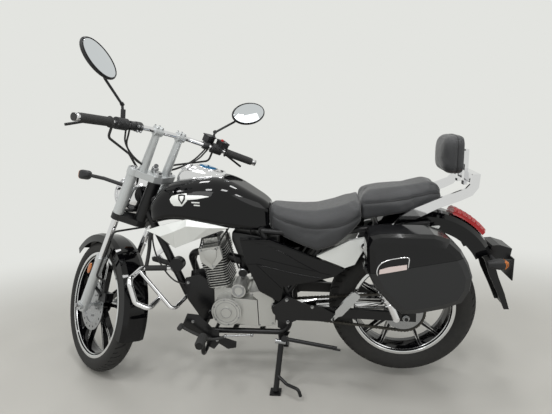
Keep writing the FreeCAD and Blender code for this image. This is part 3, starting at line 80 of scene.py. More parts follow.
# The fork's legs and the front axle stand this far ahead of the steering axis
LEGS_AHEAD = 45
FRONT_HUB = fork(LEGS_AHEAD, 0, 0)
AXLE = LOCK @ LEFT
REAR_HUB = mm(-535, 0, 328)

# Each wheel: body, hub, axle and upright, then the rim's lip, the tyre's width, the hub's radius and the
# spokes' face, in mm
WHEELS = {
    "front": ("front_wheel", FRONT_HUB, AXLE, LOCK @ UP, 246, 90, 40, 12),
    "rear": ("rear_wheel", REAR_HUB, LEFT, UP, 214, 130, 58, 15),
}
# Each tyre: radius, radius of the crown and steps round it, then its sidewall rings as (radius, along)
TYRES = {"front": (308.8, 46, 180), "rear": (305, 72, 170)}
SIDEWALL_RINGS = {"front": ((262, 42.5), (270, 43.7)), "rear": ((232, 59.5), (242, 63.0))}
GROOVE_PERIOD = 6

# The engine's barrel leans forward from its foot
LEAN = math.radians(8)
BARREL_FOOT = mm(236, 0, 426)
BARREL_UP = Vector((math.sin(LEAN), 0, math.cos(LEAN)))
BARREL_AHEAD = Vector((math.cos(LEAN), 0, -math.sin(LEAN)))

# The bar's outer run, as (ahead, left) at its two ends, its grip's end, and its height up the fork
BAR_INNER = (30, 96)
BAR_OUTER = (-18, 272)
GRIP_END = (-67, 400)
BAR_UP = 900


# Sizes and colours that a user would change


class MotorcycleSizes(bpy.types.PropertyGroup):
    """Sizes of the studio: the floor's width, the camera's lens and the key light's power."""

    floor_width: bpy.props.FloatProperty(
        name="Floor width", description="Side of the pale studio floor", default=30.0, unit="LENGTH")
    lens_mm: bpy.props.FloatProperty(
        name="Lens", description="Focal length on a 36 mm sensor", default=27.161)
    key_power: bpy.props.FloatProperty(
        name="Key light", description="Power of the soft light overhead", default=60.0, subtype="POWER")


class MotorcycleColours(bpy.types.PropertyGroup):
    """Main colours."""

    enamel: bpy.props.StringProperty(
        name="Enamel", description="Hex colour of the tank, covers and mudguards", default="060608")
    silver: bpy.props.StringProperty(
        name="Silver lacquer", description="Hex colour of the scoops and rear panels", default="E0E2E0")
    leather: bpy.props.StringProperty(
        name="Seat cover", description="Hex colour of the seats where they shine", default="303134")
    room: bpy.props.StringProperty(
        name="Room", description="Hex colour of the backdrop", default="E3E4E0")


# Materials


def linear(hex_text):
    """An sRGB hex colour as the linear values that shaders take."""
    channels = [int(hex_text[i:i + 2], 16) / 255 for i in (0, 2, 4)]
    return tuple(c / 12.92 if c <= 0.04045 else ((c + 0.055) / 1.055) ** 2.4 for c in channels) + (1.0,)


def add(tree, kind, inputs=None, **settings):
    """Adds a node, with its settings, its input values and the sockets that feed it."""
    node = tree.nodes.new(kind)
    for name, value in settings.items():
        setattr(node, name, value)
    for name, value in (inputs or {}).items():
        if isinstance(value, bpy.types.NodeSocket):
            tree.links.new(value, node.inputs[name])
        else:
            node.inputs[name].default_value = value
    return node


def fresh(name, colour, metallic, roughness, **sockets):
    """A material with its shader's plain values, and the object coordinates for its patterns."""
    material = bpy.data.materials.new(name)
    material.use_nodes = True
    tree = material.node_tree
    shader = tree.nodes["Principled BSDF"]
    shader.inputs["Base Color"].default_value = linear(colour)
    shader.inputs["Metallic"].default_value = metallic
    shader.inputs["Roughness"].default_value = roughness
    for name, value in sockets.items():
        shader.inputs[name.replace("_", " ")].default_value = value
    place = add(tree, "ShaderNodeTexCoord").outputs["Object"]
    return material, tree, shader, place


def grained(tree, shader, place, scale, depth, detail=2.0, strength=1.0):
    """A fine grain over the whole surface, its depth in mm."""
    noise = add(tree, "ShaderNodeTexNoise", {"Vector": place, "Scale": scale, "Detail": detail})
    bump = add(tree, "ShaderNodeBump", {"Height": noise.outputs["Fac"], "Distance": depth / 1000,
                                        "Strength": strength})
    tree.links.new(bump.outputs["Normal"], shader.inputs["Normal"])


# Each finish: colour, metallic, roughness, coat, grain and its height in mm, cloudiness of the sheen
FINISHES = {
    # Baked enamel: a deep black that mirrors the room, with faint orange peel
    "black enamel": ("060608", 0, 0.05, 0, 6.0, 0.004, 0.25),
    # Metallic lacquer under clear coat: silver that darkens softly with the angle
    "silver lacquer": ("E0E2E0", 0.3, 0.36, 0.4, 0.9, 0.004, 0.12),
    # Bright chrome plate over polished tube: sharp reflections, barely wavy
    "chrome plate": ("E6E6E8", 1.0, 0.07, 0, 18.0, 0.02, 0.3),
    # Satin chrome, buffed: the same metal with soft reflections
    "satin chrome": ("BFC1C3", 1.0, 0.24, 0, 1.2, 0.01, 0.2),
    # Silver paint over cast aluminium: pale grey, slightly grainy
    "painted casting": ("C2C5C6", 0.4, 0.38, 0.2, 1.4, 0.03, 0.12),
    # Raw die-cast aluminium, tumbled: pale grey with a fine blasted grain
    "die-cast aluminium": ("BDBDBA", 0.7, 0.4, 0, 1.1, 0.05, 0.16),
    # Powder coat: black with a soft shine and fine texture
    "powder coat": ("0E0E10", 0, 0.34, 0, 1.3, 0.03, 0.2),
    # Moulded glossy ABS: black with shallow sink marks
    "glossy ABS": ("08080A", 0, 0.1, 0, 24.0, 0.02, 0.3),
    # Moulded satin ABS: black-grey with a spark-eroded grain
    "satin ABS": ("161719", 0, 0.42, 0, 0.9, 0.03, 0.15),
    # Moulded polypropylene: matt black, slightly chalky
    "matt moulding": ("1A1A1C", 0, 0.62, 0, 1.6, 0.05, 0.12),
    # Soft rubber: black, dull, with dust in the grain
    "rubber": ("18181A", 0, 0.74, 0, 1.2, 0.08, 0.12),
    # Ground steel: grey with fine turning marks
    "ground steel": ("A2A3A5", 1.0, 0.27, 0, 0.8, 0.02, 0.25),
    # Silvered glass of the mirrors and the headlamp's dish
    "mirror glass": ("DCE0E4", 1.0, 0.03, 0, 40.0, 0.004, 0.1),
    # Retroreflective strip: pale, faintly rosy plastic with small prisms
    "pale reflector": ("D9C9C6", 0.1, 0.25, 0.5, 2.4, 0.12, 0.1),
    # Cover of the instrument under its blue protective film
    "instrument glass": ("1F6E9E", 0.3, 0.08, 0.6, 30.0, 0.004, 0.1),
    # Rim faces turned on a lathe: bright bare aluminium with fine rings
    "machined rim": ("DDDEDF", 1.0, 0.16, 0, 0.6, 0.01, 0.2),
    # Moulded red push button
    "red moulding": ("A8201C", 0, 0.35, 0, 2.0, 0.02, 0.1),
    # Welt and crease of the seat cover: the same vinyl, darkened as painted shade where it folds into the
    # seam
    "welt vinyl": ("141416", 0, 0.55, 0, 1.0, 0.03, 0.1),
    # Oiled roller chain steel: dark and greasy
    "oiled steel": ("4A4844", 0.9, 0.38, 0, 2.0, 0.05, 0.3),
}

# Gloss black mirrors less than bare glass would, because its clear resin is dark below
LOW_GLOSS = {"black enamel": 1.38, "glossy ABS": 1.4, "powder coat": 1.42}


def plain_finish(name):
    """A finish of the table, with its grain and a sheen that clouds over some 70 mm."""
    colour, metallic, roughness, coat, grain, height, cloud = FINISHES[name]
    colours = bpy.context.scene.motorcycle_colours
    colour = {"black enamel": colours.enamel, "silver lacquer": colours.silver}.get(name, colour)
    material, tree, shader, place = fresh(name, colour, metallic, roughness, Coat_Weight=coat,
                                          Coat_Roughness=0.03, IOR=LOW_GLOSS.get(name, 1.5))
    grained(tree, shader, place, 1000 / grain, height, 3.0, 0.6)
    broad = add(tree, "ShaderNodeTexNoise", {"Vector": place, "Scale": 14.0, "Detail": 4.0})
    sheen = add(tree, "ShaderNodeMapRange", {"Value": broad.outputs["Fac"],
                                             "To Min": roughness * (1 - cloud),
                                             "To Max": roughness * (1 + cloud)})
    tree.links.new(sheen.outputs["Result"], shader.inputs["Roughness"])
    return material


def tyre_rubber():
    """Vulcanised tread rubber: dull charcoal, browner and dustier where it has rolled."""
    material, tree, shader, place = fresh("tyre rubber", "1C1C1D", 0, 0.78)
    dust = add(tree, "ShaderNodeTexNoise", {"Vector": place, "Scale": 60.0, "Detail": 6.0})
    tint = add(tree, "ShaderNodeMix", {"Factor": dust.outputs["Fac"], 6: linear("161617"),
                                       7: linear("2A2927")}, data_type="RGBA")
    tree.links.new(tint.outputs[2], shader.inputs["Base Color"])
    grained(tree, shader, place, 900.0, 0.2)
    return material


def leather():
    """Vinyl seat cover with an embossed hide grain of about 1.4 mm, dull with a soft sheen."""
    colour = bpy.context.scene.motorcycle_colours.leather
    material, tree, shader, place = fresh("vinyl cover", colour, 0, 0.5, Sheen_Weight=0.25,
                                          Sheen_Roughness=0.45)
    cells = add(tree, "ShaderNodeTexVoronoi", {"Vector": place, "Scale": 700.0},
                feature="DISTANCE_TO_EDGE")
    creases = add(tree, "ShaderNodeMapRange", {"Value": cells.outputs["Distance"], "From Max": 0.25})
    bump = add(tree, "ShaderNodeBump", {"Height": creases.outputs["Result"], "Distance": 0.00025,
                                        "Strength": 0.7})
    tree.links.new(bump.outputs["Normal"], shader.inputs["Normal"])
    wear = add(tree, "ShaderNodeTexNoise", {"Vector": place, "Scale": 9.0, "Detail": 5.0})
    tint = add(tree, "ShaderNodeMix", {"Factor": wear.outputs["Fac"], 6: linear("1E1F21"),
                                       7: linear(colour)}, data_type="RGBA")
    tree.links.new(tint.outputs[2], shader.inputs["Base Color"])
    return material


def lens_plastic(name, colour, rough=0.08, see_through=0.85):
    """Moulded clear plastic over fluting: tinted, glossy and partly see-through."""
    material, tree, shader, place = fresh(name, colour, 0, rough, IOR=1.49,
                                          Transmission_Weight=see_through)
    ribs = add(tree, "ShaderNodeTexWave", {"Vector": place, "Scale": 60.0}, bands_direction="Y")
    bump = add(tree, "ShaderNodeBump", {"Height": ribs.outputs["Fac"], "Distance": 0.0006})
    tree.links.new(bump.outputs["Normal"], shader.inputs["Normal"])
    return material


def finned_casting():
    """Black-enamelled cylinder whose fin edges were skimmed bright."""
    material, tree, shader, place = fresh("skimmed fins", "121214", 0, 0.4)
    facing = add(tree, "ShaderNodeNewGeometry")
    up = add(tree, "ShaderNodeVectorMath", {0: facing.outputs["Normal"], 1: BARREL_UP},
             operation="DOT_PRODUCT")
    level = add(tree, "ShaderNodeMath", {0: up.outputs["Value"]}, operation="ABSOLUTE")
    edge = add(tree, "ShaderNodeMath", {0: level.outputs["Value"], 1: 0.3}, operation="LESS_THAN")
    scuff = add(tree, "ShaderNodeTexNoise", {"Vector": place, "Scale": 120.0, "Detail": 4.0})
    bright = add(tree, "ShaderNodeMapRange", {"Value": scuff.outputs["Fac"], "From Min": 0.35,
                                              "From Max": 0.55, "To Min": 0.55, "To Max": 0.95})
    share = add(tree, "ShaderNodeMath", {0: edge.outputs["Value"], 1: bright.outputs["Result"]},
                operation="MULTIPLY")
    tint = add(tree, "ShaderNodeMix", {"Factor": share.outputs["Value"], 6: linear("121214"),
                                       7: linear("CFCFCC")}, data_type="RGBA")
    tree.links.new(tint.outputs[2], shader.inputs["Base Color"])
    tree.links.new(share.outputs["Value"], shader.inputs["Metallic"])
    return material


def two_tone_yokes():
    """Painted upper clamp and powder-coated lower clamp of the fork, split by height along it."""
    paint, metallic = "C6C9CA", 0.4
    material, tree, shader, place = fresh("clamp paint", paint, metallic, 0.38)
    lift = add(tree, "ShaderNodeVectorMath", {0: place, 1: UP_FORK}, operation="DOT_PRODUCT")
    between = STEER_BASE.dot(UP_FORK) / 1000 + 0.6
    upper = add(tree, "ShaderNodeMath", {0: lift.outputs["Value"], 1: between}, operation="GREATER_THAN")
    tint = add(tree, "ShaderNodeMix", {"Factor": upper.outputs["Value"], 6: linear("0E0E10"),
                                       7: linear(paint)}, data_type="RGBA")
    tree.links.new(tint.outputs[2], shader.inputs["Base Color"])
    metal = add(tree, "ShaderNodeMath", {0: upper.outputs["Value"], 1: metallic}, operation="MULTIPLY")
    tree.links.new(metal.outputs["Value"], shader.inputs["Metallic"])
    grained(tree, shader, place, 700.0, 0.03)
    return material


# Finishes that need more than the table
MAKERS = {
    "clamp paint": two_tone_yokes,
    "tyre rubber": tyre_rubber,
    "vinyl cover": leather,
    "skimmed fins": finned_casting,
    "clear lens": lambda: lens_plastic("clear lens", "F4F7FA"),
    "amber lens": lambda: lens_plastic("amber lens", "E07A12", 0.1, 0.4),
    "ruby lens": lambda: lens_plastic("ruby lens", "B40A12", 0.08, 0.3),
}


def material(name):
    """The named finish, made once."""
    found = bpy.data.materials.get(name)
    if found:
        return found
    return MAKERS[name]() if name in MAKERS else plain_finish(name)


# The finish of every carried-over piece
NODE_FINISH = {
    "black enamel": "fuel_tank side_covers front_mudguard rear_mudguard front_wheel rear_wheel",
    "silver lacquer": "side_scoops rear_panels",
    "chrome plate": "crash_bars muffler fork_tubes handlebar sissy_bar headlamp rear_shocks tank_console",
    "satin chrome": "passenger_pegs",
    "painted casting": "fork_legs risers",
    "clamp paint": "yokes",
    "die-cast aluminium": "engine_case engine_covers",
    "powder coat": "frame swingarm exhaust_pipe centre_stand side_stand foot_controls horn brake_caliper "
                   "carburettor tail_piece",
    "glossy ABS": "bag_lid_left bag_lid_right",
    "satin ABS": "bag_box_left bag_box_right",
    "matt moulding": "front_indicators rear_indicators mirrors hand_controls",
    "rubber": "grips brake_hose switch_leads",
    "ground steel": "brake_disc rear_sprocket",
    "oiled steel": "drive_chain",
    "tyre rubber": "front_tyre rear_tyre",
    "vinyl cover": "rider_seat pillion_seat backrest_pad",
    "skimmed fins": "engine_cylinder",
    "clear lens": "headlamp_lens",
    "ruby lens": "tail_lamp",
}


class MOTORCYCLE_OT_finishes(bpy.types.Operator):
    """Gives every carried-over piece its finish"""
    bl_idname = "motorcycle.finishes"
    bl_label = "Finishes"

    def execute(self, context):
        for name, nodes in NODE_FINISH.items():
            for node in nodes.split():
                mesh = NODES[node].data
                mesh.materials.clear()
                mesh.materials.append(material(name))
        return {"FINISHED"}


# Making pieces


def finished(name, bm, finish, body, merge=0.00002):
    """Closes a bmesh into a piece of the scene that rides on a body."""
    bmesh.ops.remove_doubles(bm, verts=bm.verts, dist=merge)
    bmesh.ops.recalc_face_normals(bm, faces=bm.faces)
    piece = bpy.data.objects.new(name, bpy.data.meshes.new(name))
    bm.to_mesh(piece.data)
    bm.free()
    piece.data.materials.append(material(finish))
    bpy.context.scene.collection.objects.link(piece)
    rounded(piece)
    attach(piece, body)
    return piece


def rounded(piece, degrees=38):
    """Smooth shading with the edges above an angle kept sharp."""
    piece.data.polygons.foreach_set("use_smooth", [True] * len(piece.data.polygons))
    piece.data.set_sharp_from_angle(angle=math.radians(degrees))


def add_slab(bm, outline, push):
    """A flat outline of points pushed out into a plate."""
    face = bm.faces.new([bm.verts.new(point) for point in outline])
    made = bmesh.ops.extrude_face_region(bm, geom=[face])["geom"]
    moved = [item for item in made if isinstance(item, bmesh.types.BMVert)]
    bmesh.ops.translate(bm, vec=push, verts=moved)


def across(axis):
    """Two directions square to an axis and to each other."""
    first = axis.orthogonal().normalized()
    return first, axis.cross(first).normalized()


def add_spun(bm, outline, centre, axis, steps=64):
    """A closed outline of (radius, along) in mm, spun about an axis."""
    first = across(axis)[0]
    verts = [bm.verts.new(centre + first * r / 1000 + axis * a / 1000) for r, a in outline]
    edges = [bm.edges.new(pair) for pair in zip(verts, verts[1:] + verts[:1])]
    bmesh.ops.spin(bm, geom=verts + edges, cent=centre, axis=axis, angle=2 * math.pi, steps=steps,
                   use_merge=True, use_duplicate=False)


def add_bolt(bm, place, axis, across_mm, height_mm):
    """A hexagon head on its washer."""
    turn = axis.to_track_quat("Z", "Y").to_matrix().to_4x4()
    washer = 0.9
    for corners, radius, low, high in ((20, across_mm * 0.72, 0, washer),
                                       (6, across_mm * 0.577, washer, height_mm)):
        middle = Matrix.Translation(place + axis * (low + high) / 2000) @ turn
        bmesh.ops.create_cone(bm, cap_ends=True, segments=corners, radius1=radius / 1000,
                              radius2=(radius - 0.4) / 1000, depth=(high - low) / 1000, matrix=middle)


def add_bolt_ring(bm, centre, axis, count, radius, start, across_mm, height_mm):
    """Bolts spaced evenly round a point of a cover that faces sideways, all in mm."""
    x, y, z = centre
    for i in range(count):
        a = math.radians(start + 360 // count * i)
        add_bolt(bm, mm(x + radius * math.cos(a), y, z + radius * math.sin(a)), axis, across_mm, height_mm)


def tube_mesh(points, radius, closed=False, round_sides=3):
    """The mesh of a round bar on a smooth line through points, in metres."""
    curve = bpy.data.curves.new("line", "CURVE")
    curve.dimensions = "3D"
    curve.bevel_depth = radius
    curve.bevel_resolution = round_sides
    curve.resolution_u = 8
    curve.use_fill_caps = True
    spline = curve.splines.new("NURBS")
    spline.points.add(len(points) - 1)
    for knot, point in zip(spline.points, points):
        knot.co = (*point, 1)
    spline.order_u = 3
    spline.use_cyclic_u = closed
    spline.use_endpoint_u = not closed
    holder = bpy.data.objects.new("line", curve)
    bpy.context.scene.collection.objects.link(holder)
    graph = bpy.context.evaluated_depsgraph_get()
    mesh = bpy.data.meshes.new_from_object(holder.evaluated_get(graph))
    bpy.data.objects.remove(holder)
    return mesh


def add_tube(bm, points, radius, closed=False, round_sides=3):
    """A round bar on a smooth line through points, in metres."""
    mesh = tube_mesh(points, radius, closed, round_sides)
    bm.from_mesh(mesh)
    bpy.data.meshes.remove(mesh)


def add_pipes(bm, pipes):
    """Round bars, each from its radius and its points, in mm."""
    for radius, *points in pipes:
        add_tube(bm, [mm(*point) for point in points], radius / 1000)


def surface_of(node):
    """A search tree over a CAD node's surface."""
    bm = bmesh.new()
    bm.from_mesh(NODES[node].data)
    tree = BVHTree.FromBMesh(bm)
    bm.free()
    return tree


def add_applied(bm, tree, outline, side, thick, cell=6.0, sink=0.0004):
    """A thin convex shape of (x, z) in mm, pressed on a surface from one side."""
    xs = [x for x, z in outline]
    zs = [z for x, z in outline]
    middle = mm((min(xs) + max(xs)) / 2, 0, (min(zs) + max(zs)) / 2)
    reach = max(max(xs) - min(xs), max(zs) - min(zs)) / 2000 + 0.004
    count = max(2, int(reach * 2000 / cell))
    flat = bmesh.new()
    bmesh.ops.create_grid(flat, x_segments=count, y_segments=count, size=reach,
                          matrix=Matrix.Translation(middle) @ Matrix.Rotation(math.pi / 2, 4, "X"))
    inside = mm(sum(xs) / len(xs), 0, sum(zs) / len(zs))
    for (x1, z1), (x2, z2) in zip(outline, outline[1:] + outline[:1]):
        normal = Vector((z2 - z1, 0, x1 - x2)).normalized()
        if normal.dot(inside - mm(x1, 0, z1)) > 0:
            normal.negate()
        bmesh.ops.bisect_plane(flat, geom=flat.verts[:] + flat.edges[:] + flat.faces[:], dist=1e-7,
                               plane_co=mm(x1, 0, z1), plane_no=normal, clear_outer=True)
    for vert in flat.verts:
        start = Vector((vert.co.x, side * 0.6, vert.co.z))
        hit = tree.ray_cast(start, Vector((0, -side, 0)))[0] or tree.find_nearest(start)[0]
        vert.co.y = hit.y - side * sink
    for face in flat.faces:
        if face.normal.y * side < 0:
            face.normal_flip()
    flat.normal_update()
    bmesh.ops.solidify(flat, geom=flat.faces[:], thickness=-(thick / 1000 + sink))
    mesh = bpy.data.meshes.new("applied")
    flat.to_mesh(mesh)
    flat.free()
    bm.from_mesh(mesh)
    bpy.data.meshes.remove(mesh)


# Seats

CLOTH_STEPS = 20
SEAM_DEPTH = 0.0035
SEAM_REACH = 0.0065
WELT_RADIUS = 0.0016


def seat_cage(bm, rows, shrink):
    """Rings of a rounded rectangle along X, bridged into one cover, a little small."""
    rings = []
    for x, half, low, high, low_r, high_r in rows:
        ring = []
        for y_sign, z, radius, start in ((1, low, low_r, -90), (1, high, high_r, 0),
                                         (-1, high, high_r, 90), (-1, low, low_r, 180)):
            for turn in (0, 22.5, 45, 67.5, 90):
                a = math.radians(start + turn)
                y = y_sign * (half - radius) + radius * math.cos(a)
                up = (z - radius if z == high else z + radius) + radius * math.sin(a)
                centre_z = (low + high) / 2
                y -= math.copysign(min(shrink, abs(y)), y)
                up -= math.copysign(shrink, up - centre_z)
                ring.append(bm.verts.new(mm(x, y, up)))
        loop = [bm.edges.new(pair) for pair in zip(ring, ring[1:] + ring[:1])]
        rings.append((ring, loop))
    for (_, loop), (_, next_loop) in zip(rings, rings[1:]):
        bmesh.ops.bridge_loops(bm, edges=loop + next_loop)
    for ring, _ in (rings[0], rings[-1]):
        bm.faces.new(ring)
    bmesh.ops.recalc_face_normals(bm, faces=bm.faces)


def swelled(piece, voxel, cap, firm_below, pressure=4.0):
    """Remeshes a pad and lets the pressure of its foam fill the cover, each point's travel capped."""
    remesh = piece.modifiers.new("even cover", "REMESH")
    remesh.mode = "VOXEL"
    remesh.voxel_size = voxel
    graph = bpy.context.evaluated_depsgraph_get()
    piece.data = bpy.data.meshes.new_from_object(piece.evaluated_get(graph))
    piece.modifiers.clear()
    rest = [vert.co.copy() for vert in piece.data.vertices]
    held = piece.vertex_groups.new(name="held")
    held.add([i for i, co in enumerate(rest) if firm_below(co)], 1.0, "REPLACE")
    cloth = piece.modifiers.new("cover", "CLOTH")
    cloth.settings.quality = 4
    cloth.settings.use_pressure = True
    cloth.settings.uniform_pressure_force = pressure
    cloth.settings.effector_weights.gravity = 0
    cloth.settings.vertex_group_mass = held.name
    cloth.point_cache.frame_end = CLOTH_STEPS
    for step in range(1, CLOTH_STEPS + 1):
        bpy.context.scene.frame_set(step)
    graph = bpy.context.evaluated_depsgraph_get()
    full = bpy.data.meshes.new_from_object(piece.evaluated_get(graph))
    piece.modifiers.clear()
    piece.vertex_groups.clear()
    for vert, start, end in zip(piece.data.vertices, rest, full.vertices):
        travel = end.co - start
        vert.co = start + travel * min(1, cap / max(travel.length, 1e-9))
    bpy.data.meshes.remove(full)
    bpy.context.scene.frame_set(1)
    bm = bmesh.new()
    bm.from_mesh(piece.data)
    for _ in range(4):
        bmesh.ops.smooth_vert(bm, verts=bm.verts, factor=0.5, use_axis_x=True, use_axis_y=True,
                              use_axis_z=True)
    bm.to_mesh(piece.data)
    bm.free()


def sewn(piece, lines, depth, reach):
    """Draws the cover in along its seams."""
    tree = KDTree(sum(len(line) for line in lines))
    index = 0
    for line in lines:
        for point in line:
            tree.insert(point, index)
            index += 1
    tree.balance()
    normals = [vert.normal.copy() for vert in piece.data.vertices]
    for vert, normal in zip(piece.data.vertices, normals):
        far = tree.find(vert.co)[2]
        vert.co -= normal * depth * math.exp(-(far / reach) ** 2)


def on_cover(piece, line, steps=14):
    """A line of points brought onto a cover, with more points between them."""
    found = []
    for a, b in zip(line, line[1:]):
        for i in range(steps):
            point = a.lerp(b, i / steps)
            found.append(piece.closest_point_on_mesh(point)[1])
    found.append(piece.closest_point_on_mesh(line[-1])[1])
    return found


def upholstered(name, rows, node, seam_lines, shrink, voxel, cap, firm_below):
    """One padded seat: its cage, the swelling, the seams and their piping."""
    bm = bmesh.new()
    seat_cage(bm, rows, shrink)
    seat = finished(name, bm, "vinyl cover", "chassis")
    seat.parent = None
    swelled(seat, voxel, cap, firm_below)
    lines = [on_cover(seat, [mm(*point) for point in line]) for line in seam_lines]
    sewn(seat, lines, SEAM_DEPTH, SEAM_REACH)
    smooth = seat.modifiers.new("cover grain", "SUBSURF")
    smooth.levels = 1
    smooth.render_levels = 1
    rounded(seat, 80)
    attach(seat, "chassis")
    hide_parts(node)
    # Piping along the seams, in the seat's vinyl darkened as painted shade of the seams' folds
    piping = bmesh.new()
    for line in lines:
        welt = on_cover(seat, line, 1)
        add_tube(piping, welt[::4] + welt[-1:], WELT_RADIUS)
    finished(name + "_welt", piping, "welt vinyl", "chassis")


def other_side(line):
    """The same line on the machine's other side."""
    return [(x, -y, z) for x, y, z in line]


class MOTORCYCLE_OT_seats(bpy.types.Operator):
    """Rider's seat, passenger's seat and backrest pad"""
    bl_idname = "motorcycle.seats"
    bl_label = "Seats"

    def execute(self, context):
        # x, half width, bottom, top, low radius, high radius
        rider = [(4, 68, 690, 786, 10, 34), (-8, 84, 684, 786, 12, 38), (-60, 112, 656, 773, 14, 42),
                 (-130, 136, 630, 765, 16, 50), (-190, 148, 611, 764, 16, 54), (-262, 150, 634, 778, 16, 52),
                 (-324, 145, 686, 797, 16, 46), (-352, 140, 718, 805, 14, 34), (-361, 134, 730, 802, 12, 28)]
        seam = [(-4, 84, 756), (-60, 116, 733), (-130, 142, 715), (-190, 152, 709), (-262, 154, 716),
                (-324, 149, 736), (-358, 140, 752)]
        front = [(2, 80, 700), (0, 82, 756), (2, 40, 788), (2, 0, 790), (2, -40, 788), (0, -82, 756),
                 (2, -80, 700)]
        upholstered("rider_cushion", rider, "rider_seat", [seam, other_side(seam), front],
                    shrink=4, voxel=0.006, cap=0.007, firm_below=lambda co: co.z < 0.66 or co.x < -0.355)
        pillion = [(-363, 108, 734, 820, 10, 30), (-376, 112, 730, 836, 12, 40),
                   (-440, 114, 738, 844, 14, 44), (-540, 109, 753, 851, 14, 42),
                   (-620, 99, 763, 867, 14, 40), (-655, 90, 775, 858, 14, 32),
                   (-667, 80, 786, 838, 10, 22)]
        seam = [(-372, 116, 800), (-440, 118, 806), (-540, 113, 816), (-620, 103, 830), (-664, 84, 826)]
        back = [(-664, 84, 826), (-672, 0, 828), (-664, -84, 826)]
        upholstered("passenger_cushion", pillion, "pillion_seat", [seam, other_side(seam), back],
                    shrink=4, voxel=0.006, cap=0.007, firm_below=lambda co: co.z < 0.765)
        pad = [(-669, 66, 914, 1014, 22, 26), (-676, 78, 902, 1028, 28, 34), (-690, 86, 894, 1038, 32, 36),
               (-722, 90, 889, 1043, 32, 36), (-740, 84, 896, 1036, 26, 28)]
        loop = [(-716, 94, 920), (-716, 92, 966), (-716, 94, 1012), (-716, 70, 1044), (-716, 0, 1046),
                (-716, -70, 1044), (-716, -94, 1012), (-716, -92, 966), (-716, -94, 920), (-716, -70, 888),
                (-716, 0, 886), (-716, 70, 888), (-716, 94, 920)]
        upholstered("backrest_cushion", pad, "backrest_pad", [loop],
                    shrink=3, voxel=0.005, cap=0.006, firm_below=lambda co: co.x < -0.73)
        return {"FINISHED"}


# Tyres and wheels


def arc_points(a, b, c, count):
    """Points on the arc from a through b to c, in a plane of (radius, along)."""
    ax, ay = a
    bx, by = b
    cx, cy = c
    d = 2 * (ax * (by - cy) + bx * (cy - ay) + cx * (ay - by))
    aa, bb, cc = ax * ax + ay * ay, bx * bx + by * by, cx * cx + cy * cy
    ux = (aa * (by - cy) + bb * (cy - ay) + cc * (ay - by)) / d
    uy = (aa * (cx - bx) + bb * (ax - cx) + cc * (bx - ax)) / d
    start, middle, end = (math.atan2(y - uy, x - ux) for x, y in (a, b, c))
    radius = math.hypot(ax - ux, ay - uy)
    half = (middle - start + math.pi) % (2 * math.pi) - math.pi
    rest = (end - middle + math.pi) % (2 * math.pi) - math.pi
    return [(ux + radius * math.cos(start + (half + rest) * i / count),
             uy + radius * math.sin(start + (half + rest) * i / count)) for i in range(count + 1)]


def treaded(which):
    """A tyre with its grooves cut in chevrons, at the CAD tyre's own size."""
    body, centre, axle, _, lip, width = WHEELS[which][:6]
    radius, crown, steps = TYRES[which]
    half = width / 2
    angle = math.asin(min(1, half * 0.94 / crown))
    shoulder = (radius - crown + crown * math.cos(angle), crown * math.sin(angle))
    foot = (lip + 0.3, half * 0.72 + 7)
    bulge = ((shoulder[0] + lip - 4) / 2, half)
    lanes = 18
    tread = arc_points((shoulder[0], -shoulder[1]), (radius, 0), shoulder, lanes)
    left = arc_points(shoulder, bulge, foot, 7)[1:]
    right = [(r, -y) for r, y in reversed(left)]
    outline = right + tread + left
    seat = half * 0.72
    inner = [(lip + 0.3, seat), (lip - 4, seat), (lip - 4, -seat), (lip + 0.3, -seat)]
    bm = bmesh.new()
    add_spun(bm, outline + inner, centre, axle, steps)
    bmesh.ops.remove_doubles(bm, verts=bm.verts, dist=0.00002)
    bmesh.ops.recalc_face_normals(bm, faces=bm.faces)
    first, second = across(axle)
    tread_half = shoulder[1] / 1000
    column = 2 * tread_half / lanes
    grooves = []
    for face in bm.faces:
        offset = face.calc_center_median() - centre
        along = offset.dot(axle)
        reach = (offset - axle * along).length
        if abs(along) > tread_half * 0.99 or reach < (shoulder[0] - 3) / 1000:
            continue
        share = (math.atan2(offset.dot(second), offset.dot(first)) % (2 * math.pi)) / (2 * math.pi)
        turn = round(share * steps - 0.5)
        lane = int(abs(along) / column)
        beat = (turn + (GROOVE_PERIOD // 2 if along > 0 else 0)) % GROOVE_PERIOD
        if beat == 0 and 1 <= lane <= 7 or beat == GROOVE_PERIOD // 2 and 5 <= lane <= 7:
            grooves.append(face)
    for vert in bm.verts:
        offset = vert.co - centre
        along = offset.dot(axle)
        lean = min(abs(along), tread_half) / tread_half * 0.16
        vert.co = centre + Quaternion(axle, -lean) @ offset
    bmesh.ops.inset_region(bm, faces=grooves, thickness=0.0022, depth=-0.0045, use_boundary=True,
                           use_even_offset=True)
    tyre = finished(which + "_tread", bm, "tyre rubber", body)
    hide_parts(which + "_tyre")


class MOTORCYCLE_OT_tyres(bpy.types.Operator):
    """Both tyres with their grooves, and the raised rings of their sidewalls"""
    bl_idname = "motorcycle.tyres"
    bl_label = "Tyres"

    def execute(self, context):
        for which in WHEELS:
            treaded(which)
        for which, (body, centre, axle, *_) in WHEELS.items():
            bm = bmesh.new()
            for radius, along in SIDEWALL_RINGS[which]:
                for side in (-1, 1):
                    add_spun(bm, [(radius - 1.6, side * (along - 1)), (radius - 0.6, side * (along + 0.9)),
                                  (radius + 0.6, side * (along + 1.1)), (radius + 1.6, side * (along - 0.2))],
                             centre, axle, 120)
            finished(which + "_sidewall", bm, "tyre rubber", body)
        return {"FINISHED"}


def add_edge_strip(bm, start, end, normal, width, height):
    """A machined strip along a spoke's edge."""
    along = (end - start).normalized()
    side = normal.cross(along) * width / 2
    add_slab(bm, [start - side, end - side, end + side, start + side], normal * height)


